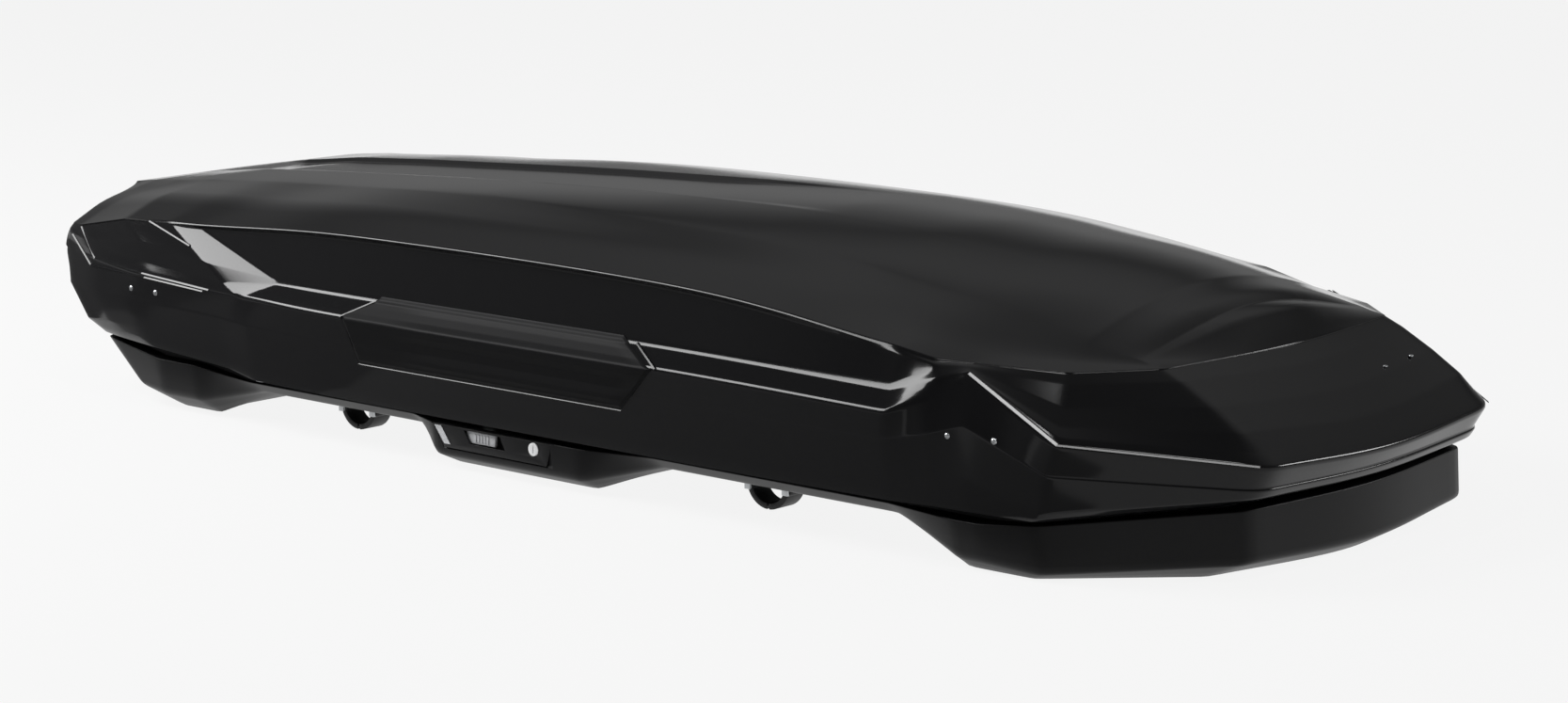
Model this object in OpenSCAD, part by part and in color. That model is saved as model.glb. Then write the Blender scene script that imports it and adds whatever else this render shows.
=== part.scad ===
// Roof cargo box that opens from both long sides.
// +X is the front of the box, +Y its left side, +Z up. The origin is the middle of the plane it stands on.

/* [Overall size] */
// Length of the closed box
box_l = 2150; // [1950:10:2350]
// Width of the closed box
box_w = 915; // [860:5:970]
// Height from the feet to the top of the roof
box_h = 365; // [345:1:395]

/* [Shells] */
// Height of the lid's lower edge along the middle of each side
parting_h = 74; // [70:1:80]
// Height of the belt crease along each side
belt_h = 195; // [185:1:205]
// Height of the top edge of the side windows
shoulder_h = 302; // [290:1:312]
// Height of the two roof ridges
ridge_h = 348; // [335:1:352]
// Wall thickness of the lid
lid_wall = 4; // [3:0.5:5]
// Wall thickness of the base
base_wall = 4; // [3:0.5:5]
// Height of the base's upper rim
rim_h = 112; // [106:1:118]
// Drop from the lid's edge to the shelf of the base below it
shelf_drop = 8; // [8:1:12]
// Height of the floor where the box lies on the crossbars
saddle_h = 45; // [40:1:48]
// Depth of the roof channel at the tail
channel_d = 6; // [3:1:9]

/* [Hinges and locks] */
// Radius of the striker pins
pin_r = 4; // [3.5:0.25:5]
// Length of the striker pins
pin_l = 64; // [58:1:70]
// Gap between a striker pin and the inside of the lid's edge
pin_gap = 3; // [2.5:0.25:4]
// Height of the striker pins above the lid's edge
pin_rise = 6; // [5:0.5:8]
// Running clearance of the pins in their bores
pin_fit = 0.05; // [0.02:0.01:0.1]
// Clearance of the pins in the open cradles
cradle_fit = 0.3; // [0.2:0.05:0.5]
// Travel of the lock bars
lock_travel = 20; // [16:1:24]

/* [Crossbar clamps] */
// Distance of the clamps from the middle plane
clamp_y = 330; // [300:5:345]
// Place of the front clamps along the box
clamp_front_x = 357; // [340:1:400]
// Place of the rear clamps along the box
clamp_rear_x = -424; // [-440:1:-390]
// Outer radius of the closed claws
claw_r = 37; // [34:1:40]
// Thickness of the claws
claw_t = 8; // [6:0.5:10]
// Width of the claws across the box
claw_w = 32; // [26:1:38]
// Radius of the torque knobs
knob_r = 29; // [25:1:33]

/* [Handles] */
// Rear end of the handle panels
handle_x0 = -331; // [-345:1:-310]
// Front end of the handle panels
handle_x1 = 257; // [240:1:280]
// Height of the lower edge of the handle panels
handle_z0 = 133; // [125:1:140]
// How far the ribs of the handle panels stand out
handle_out = 4.5; // [3:0.5:6]

/* [Hidden] */

// ---- Frame that the body lines are drawn in, and its stretch to the set sizes ----
stretch_x = box_l / 2150;
stretch_y = box_w / 915;
drawn_levels = [[-50, -50], [0, 0], [70, parting_h], [195, belt_h], [302, shoulder_h], [348, ridge_h], [365, box_h]];
function level(z) = lookup(z, drawn_levels);
function sized(p) = [p[0] * stretch_x, p[1] * stretch_y, level(p[2])];

// ---- Lid: one section per line, from the lower edge up to the roof ridge, on the half y > 0 ----
// Each section runs: lower edge, lip foot, lip top, belt crease, ledge, window foot, window head, shoulder, cant, ridge.
// Half-width of the flat side wall between the lower edge and the belt, as drawn
function side_line(z) = 435 + (457.5 - 435) * (z - 70) / (195 - 70);
nose_middle = [[1036, 0, 90], [1054, 0, 97], [1060, 0, 107], [1075, 0, 134], [1037, 0, 169],
    [999, 0, 199], [957, 0, 228], [928, 0, 246], [914, 0, 264], [893, 0, 288]];
nose_corner = [[1020, 246, 92], [1042, 250, 103], [1048, 252, 113], [1062, 255, 145], [1017, 253, 183],
    [977, 252, 209], [931, 251, 234], [905, 250, 246], [890, 250, 249], [872, 250, 253]];
cheek = [[838, 412, 72], [846, 414, 84], [855, 415, 130], [869, 416, 172], [857, 392, 190],
    [845, 370, 208], [832, 345, 232], [826, 333, 243], [812, 295, 252], [798, 257, 260]];
shoulder_peak = [[748, 431, 75], [746, 434, 115], [740, 430, 180], [727, 403, 239], [721, 397, 242],
    [716, 391, 244], [712, 386, 246], [710, 380, 248], [704, 330, 262], [700, 260, 273]];
window_tip = [[700, 434, 75], [698, 438, 115], [694, 442, 165], [688, 428, 211], [690, 420, 232],
    [685, 413, 239], [680, 405, 246], [674, 400, 249], [666, 340, 267], [660, 262, 279]];
window_front = [[630, side_line(72), 72], [630, side_line(110), 110], [632, side_line(152), 152], [640, 456, 189], [628, 430, 212],
    [625, 426, 219], [629, 411, 253], [618, 408, 260], [606, 341, 278], [600, 261, 288]];
side_front = [[270, side_line(70), 70], [270, side_line(110), 110], [270, side_line(152), 152], [270, 457.5, 195], [270, 430, 218],
    [270, 427, 224], [265, 412, 292], [265, 418, 297], [270, 345, 319], [270, 250, 331]];
side_rear = [[-330, side_line(70), 70], [-330, side_line(110), 110], [-330, side_line(152), 152], [-330, 457.5, 195], [-330, 430, 219],
    [-330, 427, 225], [-330, 412, 297], [-330, 418, 302], [-330, 335, 327], [-330, 225, 342]];
pillar_front = [[-545, side_line(73), 73], [-545, side_line(112), 112], [-545, side_line(156), 156], [-540, 456.5, 202], [-500, 428, 220],
    [-506, 425, 226], [-680, 410, 280], [-692, 414, 285], [-676, 325, 311], [-660, 222, 325]];
pillar_rear = [[-600, 435, 84], [-602, 440, 118], [-606, 446, 160], [-606, 450, 199], [-622, 444, 215],
    [-645, 436, 238], [-738, 415, 279], [-752, 413, 283], [-756, 325, 309], [-760, 222, 321]];
quarter = [[-780, 434, 96], [-800, 437, 124], [-828, 437, 165], [-786, 440, 207], [-792, 430, 225],
    [-812, 423, 252], [-850, 412, 270], [-862, 408, 277], [-885, 320, 302], [-900, 222, 311]];
panel_end = [[-868, 418, 97], [-892, 420, 120], [-925, 422, 166], [-925, 422, 213], [-932, 418, 226],
    [-944, 412, 240], [-966, 404, 250], [-978, 400, 256], [-990, 315, 286], [-965, 222, 308]];
tail_corner = [[-935, 401, 97], [-980, 398, 111], [-1032, 390, 163], [-1037, 389, 212], [-1029, 391, 230],
    [-1023, 392, 240], [-1017, 392, 248], [-1010, 391, 255], [-1036, 310, 281], [-1020, 222, 303]];
tail_ridge = [[-985, 230, 104], [-1015, 229, 128], [-1050, 227, 184], [-1062, 226, 235], [-1064, 225, 250],
    [-1066, 225, 262], [-1067, 224, 273], [-1068, 224, 282], [-1068, 223, 290], [-1065, 223, 298]];
tail_middle = [[-988, 0, 104], [-1020, 0, 130], [-1056, 0, 184], [-1069, 0, 237], [-1071, 0, 252],
    [-1073, 0, 264], [-1074, 0, 275], [-1075, 0, 283], [-1075, 0, 291], [-1073, 0, 298]];
lid_sections = [nose_middle, nose_corner, cheek, shoulder_peak, window_tip, window_front, side_front,
    side_rear, pillar_front, pillar_rear, quarter, panel_end, tail_corner, tail_ridge, tail_middle];
// Sections at which the plan outline turns a sharp corner
lid_corners = [1, 2, 3, 4, 5, 8, 9, 10, 11, 12, 13];

// ---- Base: profiles of the side wall, from the rim down to the floor ----
// Each profile runs: rim, wall foot, shelf, keel, floor edge.
shelf_h = parting_h - shelf_drop;
saddle_side = [[402, rim_h], [402, shelf_h], [406, shelf_h - 2], [382, saddle_h + 1], [350, saddle_h]];
lock_side = [[402, rim_h], [402, shelf_h], [428, shelf_h - 2], [424, 20], [386, 3]];
drop_side = [[402, rim_h], [402, shelf_h], [424, shelf_h - 2], [415, 17], [390, 0]];
foot_side = [[402, rim_h], [402, shelf_h + 14], [420, shelf_h + 12], [412, 26], [368, 0]];
function side_section(x, profile) = [for (q = profile) [x, q[0], q[1]]];
base_nose_middle = [[1019, 0, rim_h], [1022, 0, 88], [1044, 0, 87], [1050, 0, 18], [1018, 0, 0]];
base_nose_corner = [[999, 240, rim_h], [1002, 241, 90], [1024, 245, 89], [1028, 245, 24], [970, 244, 0]];
base_cheek = [[816, 396, rim_h], [820, 398, 70], [833, 406, 69.5], [840, 404, 11], [820, 389, 0]];
base_tail_corner = [[-905, 378, rim_h], [-905, 380, 94], [-930, 394, 92], [-848, 399, 30], [-806, 364, 2]];
base_tail_ridge = [[-955, 225, rim_h], [-953, 226, 98], [-962, 228, 96], [-885, 228, 36], [-835, 226, 3]];
base_tail_middle = [[-958, 0, rim_h], [-956, 0, 98], [-965, 0, 96], [-888, 0, 36], [-838, 0, 3]];
base_sections = [base_nose_middle, base_nose_corner, base_cheek, side_section(760, drop_side), side_section(720, drop_side),
    side_section(605, saddle_side), side_section(205, saddle_side), side_section(92, lock_side),
    side_section(-182, lock_side), side_section(-245, saddle_side), side_section(-590, saddle_side),
    side_section(-700, foot_side), side_section(-780, foot_side), base_tail_corner, base_tail_ridge, base_tail_middle];

// ---- Skins woven through the sections ----
// A cubic through b and c that keeps the direction of their neighbours a and d
function through(a, b, c, d, t) = b * (2 * t * t * t - 3 * t * t + 1) + c * (3 * t * t - 2 * t * t * t)
    + (c - a) / 2 * (t * t * t - 2 * t * t + t) + (d - b) / 2 * (t * t * t - t * t);
function is_in(i, list) = len([for (v = list) if (v == i) 1]) > 0;
// Neighbour i of section k, or k's own mirror image or extension where the line turns a corner
function neighbour(sections, k, step, corners, r) =
    is_in(k, corners) ? 2 * sections[k][r] - sections[k - step][r]
    : k + step < 0 ? [sections[1][r][0], -sections[1][r][1], sections[1][r][2]]
    : k + step > len(sections) - 1 ? [sections[k - 1][r][0], -sections[k - 1][r][1], sections[k - 1][r][2]]
    : sections[k + step][r];
function column(sections, corners, k, t) = [for (r = [0 : len(sections[k]) - 1])
    through(neighbour(sections, k, -1, corners, r), sections[k][r], sections[k + 1][r],
        neighbour(sections, k + 1, 1, corners, r), t)];
// Columns across half of the roof or floor patch, as shares of the ridge's distance from the middle
patch_shares = [0, 0.34, 0.44, 0.72, 1];
half_steps = len(patch_shares) - 1;
nose_stops = [for (i = [0 : half_steps - 1]) patch_shares[i]];
tail_stops = [for (i = [half_steps : -1 : 1]) 1 - patch_shares[i]];
function even_stops(n) = [for (i = [0 : n - 1]) i / n];
// All columns of one half: steps[k] columns from section k to the next, with the patch's shares at nose and tail
function columns(sections, corners, steps) = concat(
    [for (k = [0 : len(steps) - 1])
        for (t = k == 0 ? nose_stops : k == len(steps) - 1 ? tail_stops : even_stops(steps[k]))
            column(sections, corners, k, t)],
    [sections[len(sections) - 1]]);

// Inner copy of a skin point: moved by the wall towards the spine of the box, and up or down
function spine(p) = [max(-700, min(600, p[0])), 0];
function inward(p, wall, across, up) = let (d = spine(p) - [p[0], p[1]], n = norm(d))
    [p[0] + wall * across * d[0] / n, p[1] + wall * across * d[1] / n, p[2] + wall * up];

// Closed shell: rings around the box, joined by a patch over the roof or floor
module shell(half, patch, wall, across, up, flip) {
    rings = len(half[0]);
    n = len(half) - 1;
    around = 2 * n;
    a = half_steps;
    b = n - half_steps;
    rows = b - a;
    wide = 2 * half_steps;
    function ring_point(r, p) = p <= n ? [half[p][r][0], -half[p][r][1], half[p][r][2]] : half[around - p][r];
    rim_points = [for (r = [0 : rings - 1]) for (p = [0 : around - 1]) ring_point(r, p)];
    patch_points = [for (i = [1 : rows - 1]) for (m = [1 : wide - 1])
        let (share = patch_shares[abs(m - half_steps)], side = m < half_steps ? -1 : 1) patch(half[a + i][rings - 1], share, side)];
    outer = concat(rim_points, patch_points);
    inner = concat(
        [for (r = [0 : rings - 1]) for (p = [0 : around - 1]) inward(ring_point(r, p), wall, across[r], up[r])],
        [for (q = patch_points) q + [0, 0, wall * up[rings - 1]]]);
    count = len(outer);
    function edge(i, m) = i == 0 ? (rings - 1) * around + (half_steps - m + around) % around
        : i == rows ? (rings - 1) * around + b + m
        : m == 0 ? (rings - 1) * around + a + i
        : m == wide ? (rings - 1) * around + around - a - i
        : rings * around + (i - 1) * (wide - 1) + m - 1;
    ring_quads = [for (r = [0 : rings - 2]) for (p = [0 : around - 1]) let (q = (p + 1) % around)
        [r * around + p, r * around + q, (r + 1) * around + q, (r + 1) * around + p]];
    patch_quads = [for (i = [0 : rows - 1]) for (m = [0 : wide - 1])
        [edge(i, m), edge(i + 1, m), edge(i + 1, m + 1), edge(i, m + 1)]];
    quads = concat(ring_quads, patch_quads);
    split = [for (q = quads) each [[q[0], q[1], q[2]], [q[0], q[2], q[3]]]];
    hem = [for (p = [0 : around - 1]) let (q = (p + 1) % around) each [[q, p, count + p], [q, count + p, count + q]]];
    faces = concat(split, [for (t = split) [count + t[2], count + t[1], count + t[0]]], hem);
    polyhedron(concat(outer, inner), flip ? [for (t = faces) [t[2], t[1], t[0]]] : faces);
}

// ---- Lid ----
lid_steps = [4, 2, 2, 1, 1, 3, 4, 3, 1, 2, 1, 1, 1, 4];
lid_across = [1, 1, 1, 1, 0.8, 0.8, 0.7, 0.6, 0.3, 0];
lid_up = [0, 0, 0, -0.4, -1, -0.8, -0.8, -1, -1, -1];
// Height of the middle of the roof along the box, as drawn
roof_line = [[-1075, 298], [-900, 320], [-700, 332], [-330, 350], [0, 363], [150, 365], [250, 364],
    [450, 356], [640, 341], [750, 323], [850, 301], [900, 288]];
// Share of the channel's depth along the roof
channel_line = [[-1060, 0], [-1000, 1], [-100, 1], [250, 0]];
// Fullness of the roof's cross-section along the box: lower is fuller
dome_line = [[600, 0.7], [880, 1.3]];
function roof_z(x) = level(lookup(x / stretch_x, roof_line));
function lid_patch(p, share, side) = let (
    dome = max(0, 1 - share * share) ^ lookup(p[0] / stretch_x, dome_line),
    groove = share < patch_shares[2] ? channel_d * lookup(p[0] / stretch_x, channel_line) : 0)
    [p[0], side * share * p[1], p[2] + (roof_z(p[0]) - p[2]) * dome - groove];

module lid_shell() {
    color("#1b1c1e") difference() {
        shell([for (c = columns(lid_sections, lid_corners, lid_steps)) [for (p = c) sized(p)]],
            function (p, share, side) lid_patch(p, share, side), lid_wall, lid_across, lid_up, false);
        on_both_sides() for (r = rivet_places) translate([r[0] * stretch_x, r[1] * stretch_y, r[2]]) {
            along_y(-20, 1, rivet_r + 0.3);
            along_y(-0.3, 20, rivet_head_r + 0.5);
        }
    }
}

// ---- Base ----
base_steps = [4, 2, 1, 1, 1, 2, 1, 2, 1, 2, 1, 1, 1, 1, 4];
base_corners = [for (k = [1 : len(base_sections) - 2]) k];
base_across = [1, 1, 1, 0.8, 0.5];
base_up = [0, -1, -1, 0.8, 1];
function sized_plan(p) = [p[0] * stretch_x, p[1] * stretch_y, p[2]];
wall_y = 402 * stretch_y;

module base_skin() {
    shell([for (c = columns(base_sections, base_corners, base_steps)) [for (p = c) sized_plan(p)]],
        function (p, share, side) [p[0], side * share * p[1], p[2]], base_wall, base_across, base_up, true);
}

// Both long sides: the shape is drawn on the left side, +Y, and mirrored for the right one
module on_side(right) {
    if (right) mirror([0, 1, 0]) children();
    else children();
}
module on_both_sides() {
    on_side(false) children();
    on_side(true) children();
}

// ---- Hinge line shared by pins, cradles, eyes and brackets ----
rim_y = 435 * stretch_y;
belt_y = box_w / 2;
hinge_y = rim_y - lid_wall - pin_gap - pin_r;
hinge_z = parting_h + pin_rise;
ring_r = pin_r + cradle_fit + 2.4;
stations = [-500, 20, 520];
function skirt_y(z) = rim_y + (belt_y - rim_y) * (z - parting_h) / (belt_h - parting_h);
// A box between two corners
module block(low, high) {
    translate(low) cube(high - low);
}
// A cylinder along X, or along Y
module along_x(x0, x1, r) {
    translate([x0, 0, 0]) rotate([0, 90, 0]) cylinder(h = x1 - x0, r = r, $fn = 48);
}
module along_y(y0, y1, r) {
    translate([0, y0, 0]) rotate([-90, 0, 0]) cylinder(h = y1 - y0, r = r, $fn = 48);
}
// A profile given as [y, z] points, extruded from x0 to x1
module profile_x(x0, x1, points) {
    translate([x0, 0, 0]) rotate([90, 0, 90]) linear_extrude(x1 - x0) polygon(points);
}

// ---- Crossbar clamps ----
rail_w = 26;
rail_h = 7;
slot_w = 10;
bolt_r = 4;
floor_top = saddle_h + base_wall;
clamp_places = [[clamp_front_x, -clamp_y], [clamp_front_x, clamp_y], [clamp_rear_x, -clamp_y], [clamp_rear_x, clamp_y]];
rail_spans = [[252, 578], [-535, -272]];
function rail_span(x) = x > 0 ? rail_spans[0] : rail_spans[1];
cap_l = 8;
slot_end = 26;

module base_shell() {
    color("#202123") difference() {
        base_skin();
        for (c = clamp_places)
            block([rail_span(c[0])[0] + slot_end, c[1] - slot_w / 2, saddle_h - 2],
                [rail_span(c[0])[1] - slot_end, c[1] + slot_w / 2, floor_top + 2]);
        on_both_sides() {
            block([arm_x0 - 4, wall_y + 1, shelf_h - 10], [arm_x1 + lock_travel + 4, wall_y + 8.2, shelf_h + 4]);
            block([window_x0, wall_y + 8, window_z0], [window_x1, plate_y + 20, window_z1]);
            block([plate_x0 - 0.5, plate_y - 0.3, plate_z0 - 0.5], [plate_x1 + 0.5, plate_y + 20, plate_z1 + 0.5]);
            translate([key_x, 0, key_z]) along_y(wall_y + 8, plate_y + 20, key_r + 0.3);
        }
    }
}

// Rubber edging over the straight parts of the rim
trim_t = 2.5;
trim_h = 6;
module base_edge_trim() {
    color("#151515") on_both_sides() profile_x(-560 * stretch_x, 590 * stretch_x, [
        [wall_y + 0.3, rim_h - trim_h], [wall_y + trim_t, rim_h - trim_h], [wall_y + trim_t, rim_h + trim_t + 0.3],
        [wall_y - base_wall - trim_t, rim_h + trim_t + 0.3], [wall_y - base_wall - trim_t, rim_h - trim_h],
        [wall_y - base_wall - 0.3, rim_h - trim_h], [wall_y - base_wall - 0.3, rim_h + 0.3], [wall_y + 0.3, rim_h + 0.3]]);
}

module mounting_rails() {
    color("#9a9da1") for (y = [-clamp_y, clamp_y]) for (s = rail_spans) difference() {
        block([s[0], y - rail_w / 2, floor_top], [s[1], y + rail_w / 2, floor_top + rail_h]);
        block([s[0] + slot_end, y - slot_w / 2, floor_top - 1], [s[1] - slot_end, y + slot_w / 2, floor_top + rail_h + 1]);
        block([s[0] + slot_end, y - slot_w, floor_top + 2], [s[1] - slot_end, y + slot_w, floor_top + rail_h - 2]);
    }
}

module rail_end_caps() {
    color("#2a2b2d") for (y = [-clamp_y, clamp_y]) for (s = rail_spans) for (x = [s[0] - cap_l, s[1]])
        block([x, y - rail_w / 2 - 1, floor_top], [x + cap_l, y + rail_w / 2 + 1, floor_top + rail_h + 1]);
}

housing_l = 96;
housing_w = 54;
housing_h = 20;
housing_z = floor_top + rail_h;
knob_h = 24;
knob_gap = 0.3;
knob_z = housing_z + housing_h + knob_gap;
carrier_t = 2;
carrier_z = saddle_h - carrier_t;
pivot_x = claw_r - claw_t / 2 - 1;
pivot_z = saddle_h - 9;
pivot_r = 4;
eye_r = 6.4;
claw_gap = 0.3;
cheek_t = 4;

// Body of one clamp on the load floor, with ribs round its sloping skirt
module clamp_housing(place) {
    color("#2a2b2d") translate([place[0], place[1], 0]) difference() {
        union() {
            translate([0, 0, housing_z]) linear_extrude(housing_h - 6) square([housing_l, housing_w], center = true);
            translate([0, 0, housing_z]) cylinder(h = housing_h, r = housing_w / 2 - 3, $fn = 64);
            for (x = [-1, 1]) for (y = [-14, 0, 14])
                block([x * housing_l / 2 - 9, y - 1.5, housing_z + housing_h - 6],
                    [x * housing_l / 2 + 9, y + 1.5, housing_z + housing_h - 3]);
        }
        translate([0, 0, housing_z - 1]) cylinder(h = housing_h + 2, r = bolt_r + 0.05, $fn = 48);
        for (x = [-1, 1]) translate([x * housing_l * 0.36, 0, housing_z + 4]) cylinder(h = housing_h, r = 5, $fn = 32);
    }
}

// Torque knob with finger scallops, a raised grip bar and its bolt down through the floor
module clamp_knob(place) {
    color("#b4b6b9") translate([place[0], place[1], 0]) {
        difference() {
            translate([0, 0, knob_z]) cylinder(h = knob_h - 10, r = knob_r, $fn = 96);
            for (a = [0 : 45 : 315]) rotate(a) translate([knob_r + 4, 0, knob_z - 1]) cylinder(h = knob_h, r = 8, $fn = 32);
        }
        translate([0, 0, knob_z + knob_h - 10]) linear_extrude(10) square([knob_r * 1.5, 11], center = true);
        translate([0, 0, carrier_z + 0.3]) cylinder(h = knob_z - carrier_z, r = bolt_r, $fn = 48);
    }
}

// Plates under the floor that carry the claws' pivot pins
module clamp_carriers() {
    color("#8f9296") for (c = clamp_places) translate([c[0], c[1], 0]) difference() {
        union() {
            block([-pivot_x - 6, -claw_w / 2 - claw_gap - cheek_t, carrier_z], [pivot_x + 6, claw_w / 2 + claw_gap + cheek_t, saddle_h]);
            for (x = [-pivot_x, pivot_x]) for (y = [-cheek_t - claw_w / 2 - claw_gap, claw_w / 2 + claw_gap])
                block([x - 5, y, pivot_z - 5], [x + 5, y + cheek_t, carrier_z + 0.5]);
            for (x = [-pivot_x, pivot_x]) translate([x, 0, pivot_z])
                along_y(-claw_w / 2 - claw_gap - 1, claw_w / 2 + claw_gap + 1, pivot_r);
        }
        translate([0, 0, carrier_z - 1]) cylinder(h = carrier_t + 2, r = bolt_r + 0.05, $fn = 48);
    }
}

module clamp_pads() {
    color("#131313") for (c = clamp_places) translate([c[0], c[1], 0]) difference() {
        block([-23, -claw_w / 2, carrier_z - 4], [23, claw_w / 2, carrier_z]);
        translate([0, 0, carrier_z - 5]) cylinder(h = 6, r = bolt_r + 1, $fn = 32);
        for (x = [-15, -7.5, 7.5, 15]) block([x - 1, -claw_w, carrier_z - 5], [x + 1, claw_w, carrier_z - 2.5]);
    }
}

// One claw: an eye on its pivot pin and a quarter of a ring that hooks under the crossbar
module claw(place, end) {
    color("#232427") translate([place[0], place[1], 0]) mirror([end < 0 ? 1 : 0, 0, 0]) difference() {
        rotate([90, 0, 0]) translate([0, 0, -claw_w / 2]) linear_extrude(claw_w) union() {
            intersection() {
                translate([0, saddle_h]) difference() {
                    circle(r = claw_r, $fn = 96);
                    circle(r = claw_r - claw_t, $fn = 96);
                }
                translate([2, 0]) square([claw_r + 1, pivot_z]);
            }
            translate([pivot_x, pivot_z]) circle(r = eye_r, $fn = 48);
        }
        translate([pivot_x, 0, pivot_z]) along_y(-claw_w, claw_w, pivot_r + 0.05);
    }
}

// ---- Locks ----
bar_t = 4;
bar_h = 14;
bar_y = wall_y + 2.3;
bar_z = hinge_z + 9;
guide_gap = 0.3;
eye_l = 12;
cradle_l = 16;
cradle_x = -2;
eye_x = -pin_l / 2 - 6 - eye_l;
arm_x0 = -104;
arm_x1 = -80;
plate_x0 = -182;
plate_x1 = 46;
plate_z0 = 32;
plate_z1 = shelf_h - 3;
plate_t = 2.5;
window_x0 = -124;
window_x1 = -40;
window_z0 = 42;
window_z1 = 60;
button_x0 = -121;
button_x1 = -66;
key_x = 12;
key_z = 52;
key_r = 9;
plate_y = 424.8 * stretch_y;
button_y = plate_y + 1;

// Open cradles for the striker pins, each with a guide sleeve for the lock bar
module pin_cradles(right) {
    color("#8f9296") on_side(right) for (s = stations) translate([s + cradle_x, 0, 0]) {
        difference() {
            union() {
                translate([0, hinge_y, hinge_z]) along_x(0, cradle_l, ring_r);
                block([0, wall_y, hinge_z - 6.5], [cradle_l, hinge_y - pin_r, hinge_z - 1]);
            }
            translate([0, hinge_y, hinge_z]) along_x(-1, cradle_l + 1, pin_r + cradle_fit);
            block([-1, hinge_y - pin_r - cradle_fit, hinge_z], [cradle_l + 1, hinge_y + pin_r + cradle_fit, hinge_z + 9]);
            block([-1, hinge_y - ring_r - 1, hinge_z + 1.5], [cradle_l + 1, hinge_y + ring_r + 1, hinge_z + 9]);
        }
        difference() {
            block([0, wall_y, hinge_z - 6.5],
                [cradle_l, bar_y + bar_t + guide_gap + 2, bar_z + bar_h + guide_gap + 2]);
            block([-1, bar_y - guide_gap, bar_z - guide_gap],
                [cradle_l + 1, bar_y + bar_t + guide_gap, bar_z + bar_h + guide_gap]);
        }
    }
}

// Sliding lock bar: an eye for each striker pin and an arm down to the slide button
module lock_bar(right) {
    color("#8f9296") on_side(right) {
        block([stations[0] + eye_x - 10, bar_y, bar_z], [stations[2] + cradle_x + cradle_l + 12, bar_y + bar_t, bar_z + bar_h]);
        for (s = stations) translate([s + eye_x, 0, 0]) difference() {
            union() {
                translate([0, hinge_y, hinge_z]) along_x(0, eye_l, ring_r);
                block([0, bar_y + bar_t - 0.5, hinge_z + 1], [eye_l, hinge_y - 1, bar_z + 4]);
            }
            translate([0, hinge_y, hinge_z]) along_x(-1, eye_l + 1, pin_r + cradle_fit);
        }
        block([arm_x0, bar_y, window_z0 + 3], [arm_x1, bar_y + 3, bar_z + 1]);
        block([arm_x0, bar_y, window_z0 + 3], [arm_x1, button_y - 8, window_z0 + 6]);
    }
}

// Cover plate of one lock, with a slanted window for the button and a hole for the key cylinder
module lock_plate(right) {
    color("#26272a") on_side(right) difference() {
        translate([0, plate_y + plate_t, 0]) rotate([90, 0, 0]) linear_extrude(plate_t) difference() {
            polygon([[plate_x0, plate_z1], [plate_x1, plate_z1], [plate_x1 - 10, plate_z0], [plate_x0 + 22, plate_z0]]);
            polygon([[window_x0 + 2, window_z1], [window_x1 - 12, window_z1], [window_x1 - 2, window_z0], [window_x0 + 14, window_z0]]);
        }
        translate([key_x, 0, key_z]) along_y(plate_y - 1, plate_y + plate_t + 1, key_r + 0.3);
    }
}

// Slide button with finger ribs
module slide_button(right) {
    color("#8d9093") on_side(right) {
        block([button_x0, button_y - 8, window_z0 + 1], [button_x1, button_y - 3, window_z1 - 1]);
        for (x = [arm_x0 : 6 : arm_x1]) block([x, button_y - 3, window_z0 + 4], [x + 2.5, button_y - 1.5, window_z1 - 4]);
    }
}

// Key cylinder with its keyway
module key_cylinder(right) {
    color("#c9cbce") on_side(right) translate([key_x, 0, key_z]) difference() {
        union() {
            along_y(plate_y - 16, plate_y + plate_t + 1, key_r);
            along_y(plate_y - 18, plate_y - 16, key_r - 3);
        }
        block([-1, plate_y - 4, -5], [1, plate_y + plate_t + 2, 5]);
    }
}

// ---- Lid fittings ----
beam_z = rim_h + 16;
beam_t = 2.5;
beam_gap = 0.3;
beam_x0 = -528;
beam_x1 = 600;
beam_in = wall_y + 8;
beam_low = hinge_z + 10;
function beam_face(z) = skirt_y(z) - lid_wall - beam_gap;

// Angle beam that stiffens the lid's edge
module lid_beam(right) {
    color("#9a9da1") on_side(right) profile_x(beam_x0, beam_x1, [[beam_face(beam_low), beam_low],
        [beam_face(beam_z), beam_z], [beam_in, beam_z], [beam_in, beam_z - beam_t],
        [beam_face(beam_z) - beam_t, beam_z - beam_t], [beam_face(beam_low) - beam_t, beam_low]]);
}

bracket_x = 20;
bracket_l = 10;
// Brackets under the beam that hold the striker pins
module pin_brackets(right) {
    color("#8f9296") on_side(right) for (s = stations) translate([s + bracket_x, 0, 0]) difference() {
        union() {
            translate([0, hinge_y, hinge_z]) along_x(0, bracket_l, ring_r);
            profile_x(0, bracket_l, [[hinge_y - ring_r + 1, hinge_z + 2], [hinge_y + ring_r - 0.4, hinge_z + 2],
                [beam_face(beam_low) - beam_t, beam_low], [beam_face(beam_z - beam_t) - beam_t, beam_z - beam_t],
                [hinge_y - ring_r + 4, beam_z - beam_t]]);
        }
        translate([0, hinge_y, hinge_z]) along_x(-1, bracket_l + 1, pin_r + pin_fit);
    }
}

// Striker pins with a head against each bracket
module striker_pins(right) {
    color("#c9cbce") on_side(right) for (s = stations) translate([s, hinge_y, hinge_z]) {
        along_x(-pin_l / 2, bracket_x + bracket_l + 3, pin_r);
        along_x(bracket_x + bracket_l + 0.3, bracket_x + bracket_l + 4, pin_r + 2);
    }
}

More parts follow.
